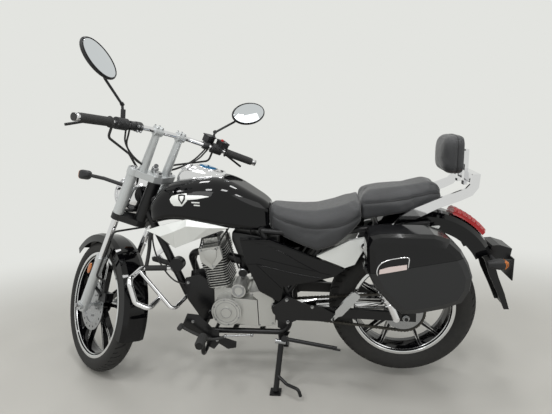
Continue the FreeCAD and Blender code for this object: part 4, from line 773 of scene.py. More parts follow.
class MOTORCYCLE_OT_wheel_faces(bpy.types.Operator):
    """Machined bright rims and spoke edges, and the valves"""
    bl_idname = "motorcycle.wheel_faces"
    bl_label = "Wheel faces"

    def execute(self, context):
        for which, (body, centre, axle, up, lip, width, hub, face) in WHEELS.items():
            bm = bmesh.new()
            half = width * 0.36 + 0.3
            bed = lip - 21.3
            for side in (-1, 1):
                add_spun(bm, [(lip - 0.6, side * (half + 5.1)), (lip - 0.6, side * (half + 5.7)),
                              (lip - 11, side * (half + 6.3)), (lip - 13.4, side * (half + 4.6)),
                              (lip - 13.4, side * (half + 3.8)), (lip - 11.8, side * (half + 5.4))],
                         centre, axle, 128)
                add_spun(bm, [(bed + 3.4, side * (half - 4.6)), (bed + 6.4, side * (half - 1.2)),
                              (bed + 5.4, side * (half - 0.8)), (bed + 2.2, side * (half - 4.4))],
                         centre, axle, 128)
            # Both edges of each spoke of five pairs, from hub to rim, as (across, out)
            reach = lip * 0.19
            edges = (((13.0, hub + 3), (reach + 4.6, bed - 0.5)), ((1.4, hub + 27), (reach - 4.6, bed - 0.5)))
            for i in range(5):
                turn = Quaternion(axle, math.radians(72 * i))
                radial = turn @ up
                cross = turn @ axle.cross(up)
                for side in (-1, 1):
                    level = centre + axle * side * face / 1000
                    for mirror in (-1, 1):
                        for ends in edges:
                            start, end = (level + (cross * mirror * a + radial * r) / 1000 for a, r in ends)
                            add_edge_strip(bm, start, end, axle * side, 0.0026, 0.0007)
            finished(which + "_bright", bm, "machined rim", body)
            extras = bmesh.new()
            inward = -across(axle)[0]
            valve = centre - inward * (bed - 2) / 1000
            add_tube(extras, [valve, valve + inward * 0.012, valve + inward * 0.03], 0.004)
            finished(which + "_valve", extras, "rubber", body)
        return {"FINISHED"}


# Chain and springs


class MOTORCYCLE_OT_chain(bpy.types.Operator):
    """Roller chain, link by link, and the springs on the shock absorbers"""
    bl_idname = "motorcycle.chain"
    bl_label = "Chain"

    def execute(self, context):
        front = mm(30, 78, 345)
        rear = mm(-535, 78, 328)
        front_r, rear_r = 0.032, 0.085
        pitch = 0.0127
        line = front - rear
        base = math.atan2(line.z, line.x)
        opening = math.acos((rear_r - front_r) / line.length)
        run = line.length * math.sin(opening)
        front_wrap = front_r * 2 * opening
        total = 2 * run + rear_r * (math.pi * 2 - 2 * opening) + front_wrap
        count = 2 * round(total / pitch / 2)

        def on_sprocket(centre, radius, a):
            """The chain's place on a sprocket, and its direction there."""
            return (centre + Vector((math.cos(a), 0, math.sin(a))) * radius,
                    Vector((math.sin(a), 0, -math.cos(a))))

        def at(distance):
            """A point of the chain's middle line."""
            if distance < run:
                foot, way = on_sprocket(rear, rear_r, base + opening)
                return foot + way * distance
            distance -= run
            if distance < front_wrap:
                return on_sprocket(front, front_r, base + opening - distance / front_r)[0]
            distance -= front_wrap
            if distance < run:
                foot, way = on_sprocket(front, front_r, base - opening)
                return foot + way * distance
            return on_sprocket(rear, rear_r, base - opening - (distance - run) / rear_r)[0]

        bm = bmesh.new()
        for i in range(count):
            here = at(total * i / count)
            there = at(total * ((i + 1) % count) / count)
            middle = (here + there) / 2
            way = (there - here).normalized()
            up = LEFT.cross(way)
            level = 0.0046 if i % 2 else 0.0031
            for side in (-1, 1):
                outline = [middle + way * a * 0.00112 + up * b * 0.0011 + LEFT * side * level
                           for a, b in ((-9, -3), (-6, -4.6), (-2, -3.4), (2, -3.4), (6, -4.6), (9, -3),
                                        (9, 3), (6, 4.6), (2, 3.4), (-2, 3.4), (-6, 4.6), (-9, 3))]
                add_slab(bm, outline, LEFT * side * 0.0013)
            turn = Matrix.Translation(here) @ Matrix.Rotation(math.pi / 2, 4, "X")
            for corners, radius, long in ((10, 0.0039, 0.009), (8, 0.0018, 0.0135)):
                bmesh.ops.create_cone(bm, cap_ends=True, segments=corners, radius1=radius, radius2=radius,
                                      depth=long, matrix=turn)
        chain = finished("chain_links", bm, "oiled steel", "chassis", merge=1e-7)
        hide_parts("drive_chain")
        teeth = bmesh.new()
        add_spun(teeth, [(74, 75.2), (80.5, 76.4), (80.5, 79.6), (74, 80.8)], REAR_HUB, LEFT, 84)
        finished("sprocket_ring", teeth, "ground steel", "rear_wheel")
        springs = bmesh.new()
        for side in (-1, 1):
            low = mm(-495, side * 144.3, 332)
            high = mm(-372, side * 144.3, 640)
            way = (high - low).normalized()
            first, second = across(way)
            coiled = (high - low).length - 0.16
            foot, coil_radius, wire_radius = 0.072, 0.0232, 0.0036
            turns, per_turn = 9, 12
            points = []
            for i in range(turns * per_turn + 1):
                a = math.radians(360 // per_turn * i)
                rise = foot + coiled * i / (turns * per_turn)
                points.append(low + way * rise + (first * math.cos(a) + second * math.sin(a)) * coil_radius)
            add_tube(springs, points, wire_radius, round_sides=2)
        finished("shock_springs", springs, "chrome plate", "chassis")
        return {"FINISHED"}


# Lenses and mirrors


def fork_way(ahead, left, up):
    """A direction on the turned fork."""
    return (LOCK @ (AHEAD * ahead + LEFT * left + UP_FORK * up)).normalized()


def frame_of(origin, x_way, y_way):
    """A matrix with its own X and Y along two directions."""
    x_way = x_way.normalized()
    z_way = x_way.cross(y_way).normalized()
    return Matrix.Translation(origin) @ Matrix((x_way, z_way.cross(x_way), z_way)).transposed().to_4x4()


def add_oval(bm, place, half_long, half_short, thick, round_edge, steps=48):
    """A pad with an oval outline, raised along its own Z, its upper edge rounded."""
    made = bmesh.ops.create_circle(bm, cap_ends=True, segments=steps, radius=1.0)["verts"]
    bmesh.ops.scale(bm, vec=(half_long / 1000, half_short / 1000, 1), verts=made)
    face = made[0].link_faces[0]
    top = bmesh.ops.extrude_face_region(bm, geom=[face])["geom"]
    lifted = [item for item in top if isinstance(item, bmesh.types.BMVert)]
    bmesh.ops.translate(bm, vec=(0, 0, thick / 1000), verts=lifted)
    rim = [e for v in lifted for e in v.link_edges if e.other_vert(v) in lifted]
    made = made + lifted
    if round_edge:
        new = bmesh.ops.bevel(bm, geom=list(set(rim)), offset=round_edge / 1000, offset_type="OFFSET",
                              segments=3, profile=0.5, affect="EDGES", material=-1)["verts"]
        made = [v for v in made if v.is_valid] + new
    bmesh.ops.transform(bm, matrix=place, verts=list(set(made)))


def add_pod_cap(bm, rows, move):
    """A lens over the end of an indicator, from rows of x, half width and half height."""
    before = set(bm.verts)
    seat_cage(bm, [(x, half, -tall, tall, tall * 0.6, tall * 0.6) for x, half, tall in rows], 0)
    for vert in set(bm.verts) - before:
        vert.co = move(vert.co)


class MOTORCYCLE_OT_lenses(bpy.types.Operator):
    """Mirror glasses, headlamp optics, indicator lenses and reflectors"""
    bl_idname = "motorcycle.lenses"
    bl_label = "Lenses and mirrors"

    def execute(self, context):
        glass = bmesh.new()
        rims = bmesh.new()
        for side in (-1, 1):
            long_way = fork_way(-8, side * 146, 83)
            face_way = fork_way(-0.707, -side * 0.346, 0.615)
            face_way = (face_way - long_way * face_way.dot(long_way)).normalized()
            place = frame_of(fork(36, side * 353, 1097), long_way, face_way.cross(long_way))
            add_oval(glass, place @ Matrix.Translation((0, 0, 0.0001)), 79, 46, 1.1, 0.5)
            ring = [place @ Vector((0.0815 * math.cos(a), 0.0485 * math.sin(a), 0.0008))
                    for a in [2 * math.pi * i / 48 for i in range(48)]]
            add_tube(rims, ring, 0.0021, closed=True)
            add_spun(rims, [(0.1, -8), (8.5, -8), (9.5, -4), (8, 6), (0.1, 8)],
                     fork(52, side * 330, 1066), fork_way(-0.1, side * 0.5, 0.8), 24)
            add_spun(rims, [(5.2, -6), (8, -6), (8.6, 0), (8, 6), (5.2, 6)],
                     fork(46, side * 223, 962), fork_way(0.12, side * 0.77, 0.63), 6)
        finished("mirror_glass", glass, "mirror glass", "steering")
        finished("mirror_rims", rims, "glossy ABS", "steering")
        # Headlamp: a bright dish, a bulb shield and a domed lens
        axis = LOCK @ Vector((1, 0, 0))
        centre = fork(118, 0, 560)
        dish = bmesh.new()
        add_spun(dish, [(0.5, 8.4), (76.8, 8.4), (76.8, 15.2), (75.2, 15.2), (66, 12.4), (44, 10.2),
                        (16, 9.4), (0.5, 9.2)], centre, axis, 64)
        add_spun(dish, [(0.5, 9.3), (13, 9.3), (13.6, 12), (11, 14.2), (0.5, 15)], centre, axis, 32)
        finished("headlamp_dish", dish, "mirror glass", "steering")
        dome = bmesh.new()
        add_spun(dome, [(0.5, 16.2), (30, 15.9), (60, 15.2), (77.4, 15.3), (77.4, 17.0), (60, 18.0),
                        (30, 18.9), (0.5, 19.1)], centre, axis, 72)
        lens = finished("headlamp_glass", dome, "clear lens", "steering")
        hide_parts("headlamp_lens")
        bezel = bmesh.new()
        add_spun(bezel, [(77.6, 19.0), (81, 22.6), (86, 22.8), (88.4, 20), (88.4, 12), (87.2, 12),
                         (86.4, 21.6), (80, 21.0)], centre, axis, 96)
        finished("headlamp_bezel", bezel, "chrome plate", "steering")
        # Indicator lenses
        amber = bmesh.new()
        for side in (-1, 1):
            def on_stalk(co, side=side):
                return steered(STEER_BASE + AHEAD * 262 + UP_FORK * 560 + LEFT * side * 182 + co * 1000)
            add_pod_cap(amber, [(12, 23.6, 20.6), (15, 23.8, 20.6), (30, 18.6, 16.0), (41, 12, 10)], on_stalk)
        finished("front_indicator_lenses", amber, "amber lens", "steering")
        amber = bmesh.new()
        for side in (-1, 1):
            def on_tail(co, side=side):
                return Vector((co.x, side * 0.128 + co.y, 0.556 + co.z))
            add_pod_cap(amber, [(-880, 20.4, 18.2), (-884, 20, 17.6), (-892, 18.6, 16.6),
                                (-902.6, 10.6, 9.6)], on_tail)
        finished("rear_indicator_lenses", amber, "amber lens", "chassis")
        # Side reflectors on the sliders
        amber = bmesh.new()
        back = bmesh.new()
        for side in (-1, 1):
            place = frame_of(fork(87, side * 99, 178), fork_way(0.02, 0, 1), fork_way(side, 0, 0))
            add_oval(amber, place, 27, 14.5, 5, 1.6, 36)
            add_oval(back, place @ Matrix.Translation((0, 0, -0.0025)), 29.5, 17, 4, 0.8, 36)
            arm = [fork(87, side * 97, 172), fork(66, side * 92, 170), fork(60, side * 90, 168)]
            add_tube(back, arm, 0.005)
        finished("fork_reflectors", amber, "amber lens", "steering")
        finished("reflector_backs", back, "satin ABS", "steering")
        # Ribs of the tail lamp
        ribs = bmesh.new()
        centre = mm(-603, 0, 456)
        for i in range(7):
            a = math.radians(115.5 + 4 * i)
            out = Vector((math.cos(a), 0, math.sin(a)))
            rib = [centre + out * radius + LEFT * y
                   for radius, y in ((0.3144, -0.039), (0.3238, -0.018), (0.3238, 0.018), (0.3144, 0.039))]
            add_tube(ribs, rib, 0.0011)
        finished("tail_lamp_ribs", ribs, "ruby lens", "chassis")
        return {"FINISHED"}


# Tank, panels and bags


def landed(tree, x, y):
    """The point of a node under a spot given in metres, and the direction that it faces."""
    return tree.ray_cast(Vector((x, y, 1.6)), Vector((0, 0, -1)))[:2]


def struck(tree, x, z, side):
    """The outermost point of a node at a spot given in mm, seen from one side, or None."""
    return tree.ray_cast(mm(x, side * 600, z), Vector((0, -side, 0)))[0]


class MOTORCYCLE_OT_trims(bpy.types.Operator):
    """Plain tank trims, instrument glass, panel creases and bag reflectors"""
    bl_idname = "motorcycle.trims"
    bl_label = "Trims"

    def execute(self, context):
        tank = surface_of("fuel_tank")
        bright = bmesh.new()
        dark = bmesh.new()
        for side in (-1, 1):
            for outline in ([(389, 839), (380, 851), (354, 857), (318, 861), (316, 832), (338, 812),
                             (372, 814), (384, 826)],
                            [(317, 860), (262, 852), (228, 851), (229, 841), (263, 839), (297, 835),
                             (317, 832)],
                            [(298, 829), (265, 827), (265, 822), (298, 824)],
                            [(289, 818), (265, 816), (265, 811), (289, 813)]):
                add_applied(bright, tank, outline, side, 1.6, 5)
            shield = [(352, 855), (337, 857), (323, 855), (324, 838), (338, 819), (351, 838)]
            add_applied(dark, tank, shield, side, 3.0, 3)
            face = [(346, 850), (337, 851), (329, 850), (330, 840), (338, 828), (345, 840)]
            add_applied(bright, tank, face, side, 4.0, 3)
        finished("tank_wings", bright, "silver lacquer", "chassis")
        finished("tank_shields", dark, "glossy ABS", "chassis")
        # Console: its bright base line, the instrument and its frame, and the filler cap
        console = surface_of("tank_console")
        base = bmesh.new()
        loop = []
        for i in range(72):
            a = 2 * math.pi * i / 72
            x, y = 0.295 + 0.13 * math.cos(a), 0.08 * math.sin(a)
            near = console.find_nearest(Vector((x, y, landed(tank, x, y)[0].z)))[0]
            drop = landed(tank, near.x, near.y)[0]
            loop.append(Vector((near.x, near.y, max(drop.z, near.z))))
        add_tube(base, loop, 0.0022, closed=True)
        glass = bmesh.new()
        for x, half_long, half_wide, upper in ((0.262, 40, 34, glass), (0.352, 22, 26, base)):
            point, normal = landed(console, x, 0)
            normal = Vector((normal.x, 0, abs(normal.z))).normalized()
            place = frame_of(point - normal * 0.002, LEFT.cross(normal), LEFT)
            add_oval(base, place, half_long + 4, half_wide + 4, 5.5, 2.0)
            above = place @ Matrix.Translation((0, 0, 0.0045))
            add_oval(upper, above, half_long - 3, half_wide - 3, 2.6, 1.2)
        finished("console_bright", base, "chrome plate", "chassis")
        finished("instrument_glass", glass, "instrument glass", "chassis")
        # Creases of the side covers
        cover = surface_of("side_covers")
        crease = bmesh.new()
        for side in (-1, 1):
            for outline in ([(116, 662), (70, 659), (-2, 656), (-178, 582), (-290, 538), (-176, 572),
                             (0, 640), (70, 646)],
                            [(96, 560), (54, 444), (-30, 394), (-42, 452), (-20, 462), (60, 560)],
                            [(40, 585), (-100, 540), (-240, 512), (-160, 488), (-52, 468), (20, 540)]):
                add_applied(crease, cover, hull(outline), side, 2.0, 14)
            for line in ([(74, 652), (40, 648), (1, 638), (-67, 600), (-135, 553), (-200, 520)],
                         [(60, 560), (-20, 540), (-110, 514), (-200, 500)]):
                along = [struck(cover, x, z, side) for x, z in line]
                add_tube(crease, [point + LEFT * side * 0.0022 for point in along if point], 0.0016)
        finished("cover_creases", crease, "black enamel", "chassis")
        # Bag reflectors: a bright frame round a pale strip
        for side, name in ((1, "left"), (-1, "right")):
            lid = surface_of("bag_lid_" + name)
            path = [(-397, 604), (-399, 622), (-410, 641), (-436, 654), (-470, 660), (-506, 664), (-503, 640),
                    (-502, 616), (-470, 608), (-430, 599), (-403, 592)]
            framed = bmesh.new()
            points = [struck(lid, x, z, side) or mm(x, side * 326, z) for x, z in path]
            add_tube(framed, [point + LEFT * side * 0.0008 for point in points], 0.0019, closed=True)
            finished("bag_reflector_frame_" + name, framed, "chrome plate", "lid_" + name)
            pale = bmesh.new()
            strip = [(-405, 602), (-407, 618), (-440, 628), (-497, 636), (-497, 619), (-440, 608)]
            add_applied(pale, lid, strip, side, 2.2, 8)
            finished("bag_reflector_" + name, pale, "pale reflector", "lid_" + name)
        return {"FINISHED"}


def hull(outline):
    """The outer points of an outline, in order."""
    points = sorted(set(outline))

    def half(line):
        kept = []
        for point in line:
            while len(kept) > 1 and ((kept[-1][0] - kept[-2][0]) * (point[1] - kept[-2][1])
                                     - (kept[-1][1] - kept[-2][1]) * (point[0] - kept[-2][0])) <= 0:
                kept.pop()
            kept.append(point)
        return kept
    return half(points)[:-1] + half(points[::-1])[:-1]


# Dark pieces between the engine, the frame and the panels


def add_bodied(bm, outline, low, high, edge):
    """A side outline of (x, z) in mm, made a body from one y to another, its edges rounded."""
    before = set(bm.verts)
    low, high = sorted((low, high))
    add_slab(bm, [mm(x, low, z) for x, z in outline], mm(0, high - low, 0))
    fresh_verts = [v for v in bm.verts if v not in before]
    edges = list({e for v in fresh_verts for e in v.link_edges})
    bmesh.ops.bevel(bm, geom=edges, offset=edge / 1000, offset_type="OFFSET", segments=2, profile=0.5,
                    affect="EDGES", material=-1, clamp_overlap=True)


class MOTORCYCLE_OT_inner_pieces(bpy.types.Operator):
    """Air box, engine plates, sleeves, hoses, foot levers and the shields of the head; the front plates also
    stand in for shade
    """
    bl_idname = "motorcycle.inner_pieces"
    bl_label = "Inner pieces"

    def execute(self, context):
        box = bmesh.new()
        add_bodied(box, [(-20, 500), (-24, 636), (60, 656), (168, 676), (172, 640), (150, 572), (112, 556),
                         (104, 508)], -56, 56, 8)
        add_spun(box, [(20, 0), (26, 0), (26, 5), (22, 7), (22, 12), (26, 14), (26, 19), (22, 21), (22, 30),
                       (20, 30)], mm(100, 0, 520), Vector((0.8, 0, -0.6)), 32)
        finished("air_box", box, "satin ABS", "chassis")
        plates = bmesh.new()
        for side in (-1, 1):
            # Front engine mounts, drawn solid across the whole gap between downtube and engine: partly the
            # real mounts, partly a dark sheet standing in for the shade there
            add_bodied(plates, [(396, 356), (404, 420), (396, 462), (330, 476), (268, 430), (262, 350),
                                (290, 262), (338, 258)], side * 38, side * 43, 1.5)
            add_bodied(plates, [(402, 276), (372, 336), (318, 330), (262, 262), (238, 258), (240, 232),
                                (166, 206), (170, 178), (206, 170), (244, 196), (268, 168), (300, 186),
                                (296, 212), (330, 232)], side * 128, side * 133, 1.5)
            add_bodied(plates, [(462, 672), (398, 676), (400, 632), (436, 644)], side * 104, side * 112, 1.5)
        finished("engine_plates_and_shade_fill", plates, "powder coat", "chassis")
        sleeves = bmesh.new()
        for side in (-1, 1):
            add_pipes(sleeves, ((12.4, (484, side * 25, 502), (530, side * 41, 508), (578, side * 57, 514)),))
            peg_in, peg_out = mm(292, side * 190, 262), mm(288, side * 258, 262)
            way = (peg_out - peg_in).normalized()
            add_spun(sleeves, [(15.2, 0), (18.5, 0), (19, 3), (18.6, 64), (16, 69), (0.3, 69.5), (0.3, 68.2),
                               (15.2, 68.2)], peg_in, way, 32)
            for i in range(9):
                at = 5 + i * 6.6
                add_spun(sleeves, [(18.2, at), (20, at + 0.6), (20, at + 3.4), (18.2, at + 4)],
                         peg_in, way, 32)
        finished("guard_sleeves", sleeves, "rubber", "chassis")
        hoses = bmesh.new()
        add_pipes(hoses, (
            (8.5, (536, 20, 668), (548, 24, 640), (552, 30, 590), (566, 50, 524)),
            (3.4, (530, 26, 664), (534, 30, 639), (527, 30, 565), (501, 30, 505), (473, 30, 459),
             (439, 28, 430), (404, 22, 424)),
            (3.2, (300, 36, 700), (296, 44, 670), (318, 36, 600), (350, 30, 540), (352, 26, 480)),
            (3.4, (196, 40, 700), (184, 66, 676), (180, 74, 640), (160, 66, 560), (150, 50, 510))))
        finished("front_hoses", hoses, "rubber", "chassis")
        bright = bmesh.new()
        # Gear linkage and the bolts of pivots and plates, each as (x, y, z), size and height
        add_tube(bright, [mm(212, 139, 236), mm(150, 138, 240), mm(96, 136, 243)], 0.0036)
        for x, z in ((212, 236), (96, 243)):
            add_spun(bright, [(0.3, 133), (6, 133), (7, 136), (7, 142), (5, 144), (0.3, 144)], mm(x, 0, z),
                     LEFT, 20)
        for side in (-1, 1):
            for x, y, z, size, high in (
                    (-18, 126, 355, 21, 8), (-163, 140, 378, 10, 8), (-60, 139.5, 408, 10, 8),
                    (-60, 139.5, 308, 10, 8), (-535, 136, 328, 20, 8), (250, 133, 214, 10, 6),
                    (350, 133, 300, 10, 6), (386, 43, 440, 10, 6), (300, 43, 300, 10, 6)):
                add_bolt(bright, mm(x, side * y, z), LEFT * side, size, high)
        finished("linkage_and_bolts", bright, "ground steel", "chassis")
        sleeve = bmesh.new()
        add_tube(sleeve, [mm(-6, 160, 232), mm(-28, 160, 229), mm(-50, 160, 225)], 0.0095)
        finished("side_stand_sleeve", sleeve, "ground steel", "side_stand")
        lever = bmesh.new()
        for side in (-1, 1):
            add_tube(lever, [mm(212, side * 137, 234), mm(260, side * 142, 214), mm(330, side * 158, 250),
                             mm(392, side * 168, 296)], 0.006)
            add_spun(lever, [(0.3, -16), (9, -16), (10.5, -12), (10.5, 14), (8, 17), (0.3, 17)],
                     mm(392, side * 172, 296), LEFT, 24)
        finished("foot_levers", lever, "rubber", "chassis")
        shield = bmesh.new()
        place = Matrix.Translation(BARREL_FOOT) @ Matrix.Rotation(LEAN, 4, "Y")
        for side in (-1, 1):
            before = set(shield.verts)
            add_bodied(shield, [(-33, 184), (-26, 150), (0, 121), (24, 152), (30, 184), (0, 190)],
                       side * 96.4, side * 100.6, 1.8)
            bmesh.ops.transform(shield, matrix=place, verts=[v for v in shield.verts if v not in before])
        finished("head_shields", shield, "die-cast aluminium", "chassis")
        return {"FINISHED"}


# Engine, controls and fasteners


class MOTORCYCLE_OT_engine_details(bpy.types.Operator):
    """Cover bolts, rings, plug lead, hoses, exhaust flange and the head's bolts"""
    bl_idname = "motorcycle.engine_details"
    bl_label = "Engine details"

    def execute(self, context):
        bolts = bmesh.new()
        add_bolt_ring(bolts, (201, 128, 342), LEFT, 6, 57, 25, 6, 4)
        for x, z in ((8, 284), (4, 372), (22, 424), (88, 416), (64, 276)):
            add_bolt(bolts, mm(x, 110, z), LEFT, 6, 4)
        add_bolt_ring(bolts, (146, 112, 432), LEFT, 3, 25, 30, 5, 3.4)
        add_bolt_ring(bolts, (96, -112, 336), -LEFT, 8, 71, 0, 6, 4)
        for x, z in ((180, 268), (236, 290), (246, 330), (232, 392), (180, 400)):
            add_bolt(bolts, mm(x, -100, z), -LEFT, 6, 4)
        finished("cover_bolts", bolts, "ground steel", "chassis")
        rings = bmesh.new()
        for radius, along in ((22, 134), (58, 128), (46, 128)):
            add_spun(rings, [(radius - 1.2, along - 0.6), (radius + 1.2, along - 0.6),
                             (radius + 0.8, along + 1.2), (radius - 0.8, along + 1.2)],
                     mm(201, 0, 342), LEFT, 64)
        add_spun(rings, [(17, 111.4), (26, 111.4), (25, 114.4), (18, 114.4)], mm(146, 0, 432), LEFT, 48)
        add_spun(rings, [(15.2, 59.4), (20, 59.4), (20, 62.8), (17, 64.6), (15.2, 62)],
                 mm(132, 0, 492), LEFT, 40)
        add_spun(rings, [(9, -112.4), (40, -112.4), (38, -115.4), (11, -115.4)], mm(96, 0, 336), LEFT, 48)
        finished("cover_rings", rings, "ground steel", "chassis")
        # Plug cap and lead, fuel hose, breather and clutch cable
        up, fore = BARREL_UP, BARREL_AHEAD

        def on_barrel(a, y, b):
            """A point given by the leaning barrel's own ahead, left and up, in mm."""
            return BARREL_FOOT + fore * a / 1000 + up * b / 1000 + mm(0, y, 0)

        leads = bmesh.new()
        add_tube(leads, [on_barrel(-20, 76, 178), on_barrel(-38, 92, 186), on_barrel(-60, 84, 224),
                         mm(170, 40, 704), mm(172, 24, 736)], 0.0038)
        add_spun(leads, [(0.2, -14), (8, -14), (9, -4), (7.4, 12), (5, 16), (0.2, 16)],
                 on_barrel(-24, 84, 180), Vector((-0.5, 0.75, 0.4)).normalized(), 20)
        add_pipes(leads, (
            (4, (104, 24, 566), (92, 52, 600), (84, 50, 660), (96, 34, 704)),
            (5, (40, -80, 404), (30, -96, 450), (60, -84, 560), (90, -40, 690)),
            (3.4, (132, -4, 560), (136, -20, 620), (180, -40, 700), (196, -40, 728))))
        finished("engine_leads", leads, "rubber", "chassis")
        # Exhaust flange with its nuts, and the rocker cover's cap and bolts
        flange = bmesh.new()
        port = on_barrel(61.5, -20, 150)
        add_spun(flange, [(16.4, 0), (28, 0), (28, 5), (24, 7), (16.4, 7)], port, fore, 40)
        for b in (24, -24):
            add_bolt(flange, port + fore * 0.005 + up * b / 1000, fore, 8, 7)
        finished("exhaust_flange", flange, "ground steel", "chassis")
        head = bmesh.new()
        for y in (-44, 44):
            for a in (-38, 38):
                add_bolt(head, on_barrel(a, y, 202.5), up, 8, 6)
        add_spun(head, [(0.2, 222), (20, 222), (20, 226), (17, 229), (0.2, 230)], BARREL_FOOT, up, 40)
        for side in (-1, 1):
            for a, b in ((-38, 188), (34, 188), (-2, 112)):
                add_bolt(head, on_barrel(a, side * 96.4, b), LEFT * side, 7, 4)
        finished("head_bolts", head, "ground steel", "chassis")
        return {"FINISHED"}


def bar_ahead(along):
    """How far ahead of its axis the steered bar runs at this distance from the middle, in mm."""
    (near, low), (far, high) = BAR_INNER, BAR_OUTER
    return near + (far - near) * (along - low) / (high - low)


def bar_end(place, side):
    """One end of the bar's run at its place on the turned fork."""
    ahead, left = place
    return fork(ahead, side * left, BAR_UP)


def bar_way(side):
    """The direction in which one end of the bar runs outwards."""
    return (bar_end(BAR_OUTER, side) - bar_end(BAR_INNER, side)).normalized()


class MOTORCYCLE_OT_controls(bpy.types.Operator):
    """Grips, switches, brake reservoir, cables, ignition lock and the fasteners on bar and fork"""
    bl_idname = "motorcycle.controls"
    bl_label = "Controls and fasteners"

    def execute(self, context):
        ribs = bmesh.new()
        ends = bmesh.new()
        for side in (-1, 1):
            inner = bar_end(BAR_OUTER, side)
            outer = bar_end(GRIP_END, side)
            way = (outer - inner).normalized()
            long = (outer - inner).length * 1000
            add_spun(ribs, [(16.2, 0.4), (21, 0.4), (21.6, 2.4), (20, 4.4), (16.2, 5)], inner, way, 40)
            for i in range(22):
                at = 10 + i * (long - 18) / 22
                add_spun(ribs, [(16.2, at), (17.3, at + 0.5), (17.3, at + 2.6), (16.2, at + 3.1)],
                         inner, way, 32)
            add_spun(ends, [(0.2, long + 0.4), (14.4, long + 0.4), (14.6, long + 14), (12.6, long + 18.2),
                            (6, long + 18.6), (5, long + 16.4), (0.2, long + 16.4)], inner, way, 40)
        finished("grip_ribs", ribs, "rubber", "steering")
        finished("bar_ends", ends, "chrome plate", "steering")
        # Switches on both housings
        switches = bmesh.new()
        for side in (-1, 1):
            for along, up, size in ((210, 12, 5), (232, 14, 6), (244, 2, 4.6)):
                out = fork_way(-1, 0, up / 24)
                spot = fork(bar_ahead(along), side * along, BAR_UP) + out * 0.0225
                add_spun(switches, [(0.2, -2), (size, -2), (size, 2.4), (size - 1, 3.6), (0.2, 3.8)],
                         spot, out, 20)
        finished("switch_buttons", switches, "satin ABS", "steering")
        bolts = bmesh.new()
        top = fork_way(0, 0, 1)
        for side in (-1, 1):
            for y in (-10, 10):
                for ahead in (BAR_INNER[0] - 16, BAR_INNER[0] + 16):
                    add_bolt(bolts, fork(ahead, side * 54 + y, 917), top, 6, 5)
            add_bolt(bolts, fork(LEGS_AHEAD, side * 86, 721), top, 12, 6)
            for up in (694, 486):
                add_bolt(bolts, fork(LEGS_AHEAD + 26, side * 78, up), fork_way(1, 0, 0), 6, 5)
            add_bolt(bolts, fork(22, side * 243, 894), top, 7, 4)
            add_bolt(bolts, fork(LEGS_AHEAD, side * 116.5, 0), fork_way(0, side, 0), 17, 9)
        for along in (142, 158):
            for rise, tilt in ((9, 0.7), (-9, -0.7)):
                spot = fork(bar_ahead(along) - 22, along, BAR_UP + rise)
                add_bolt(bolts, spot, fork_way(-0.7, 0, tilt), 8, 6)
        for ahead in (-22, 6):
            add_bolt(bolts, fork(ahead, -248, 943), top, 4, 2)
        add_bolt(bolts, fork(0, 0, 729), top, 24, 8)
        for i in range(5):
            a = math.radians(72 * i + 20)
            spot = FRONT_HUB + (LOCK @ (AHEAD * math.cos(a) + UP_FORK * math.sin(a))) * 0.052 + AXLE * 0.0478
            add_bolt(bolts, spot, AXLE, 7, 4)
        finished("fork_bolts", bolts, "ground steel", "steering")
        # Brake reservoir with its lid, kill switch, lever perch, cables and the ignition lock
        reservoir = bmesh.new()
        place = frame_of(fork(24, -190, 927), fork_way(0.2, -1, 0), fork_way(1, 0.2, 0))
        made = bmesh.ops.create_cube(reservoir, size=1.0)["verts"]
        bmesh.ops.scale(reservoir, vec=(0.044, 0.036, 0.030), verts=made)
        bmesh.ops.bevel(reservoir, geom=reservoir.edges[:], offset=0.004, offset_type="OFFSET", segments=2,
                        profile=0.5, affect="EDGES", material=-1)
        bmesh.ops.transform(reservoir, matrix=place, verts=reservoir.verts)
        lid = bmesh.ops.create_cube(reservoir, size=1.0)["verts"]
        bmesh.ops.scale(reservoir, vec=(0.048, 0.040, 0.005), verts=lid)
        bmesh.ops.transform(reservoir, matrix=place @ Matrix.Translation((0, 0, 0.0165)), verts=lid)
        add_tube(reservoir, [fork(24, -190, 914), fork(26, -192, 904), fork(28, -196, 900)], 0.009)
        for side in (-1, 1):
            add_spun(reservoir, [(11.4, -13), (17, -13), (18, -10), (18, 10), (17, 13), (11.4, 13)],
                     fork(bar_ahead(176), side * 176, BAR_UP), bar_way(side), 32)
        add_spun(reservoir, [(11.4, -15), (18.5, -15), (20, -12), (20, 12), (18.5, 15), (11.4, 15)],
                 fork(bar_ahead(150), 150, BAR_UP), bar_way(1), 32)
        finished("brake_reservoir", reservoir, "satin ABS", "steering")
        red = bmesh.new()
        add_spun(red, [(0.3, -3), (7, -3), (7, 5), (5.6, 6.6), (0.3, 6.6)], fork(-8, -240, 944), top, 24)
        finished("kill_switch", red, "red moulding", "steering")
        cables = bmesh.new()
        for side, drop in ((1, 0), (1, 14), (-1, 0), (-1, 12)):
            route = ((8, 196 - drop, 888), (12, 190 - drop, 866), (20 + drop, 176 - drop, 822 - drop),
                     (34, 120 - drop, 770 - drop), (24, 60, 742), (30, 30, 716), (34, 22, 690))
            add_tube(cables, [fork(ahead, side * along, up) for ahead, along, up in route], 0.0036)
        finished("control_cables", cables, "rubber", "steering")
        lock = bmesh.new()
        add_spun(lock, [(0.3, 722), (15, 722), (15, 738), (13, 741), (4, 741), (4, 739), (0.3, 739)],
                 steered(STEER_BASE) + LOCK @ AHEAD * 0.036, UP_FORK, 32)
        key = frame_of(fork(36, 0, 748), fork_way(0.3, 1, 0), fork_way(0, 0, 1))
        add_oval(lock, key, 10, 9, 2, 0.6, 20)
        finished("ignition_lock", lock, "ground steel", "steering")
        return {"FINISHED"}


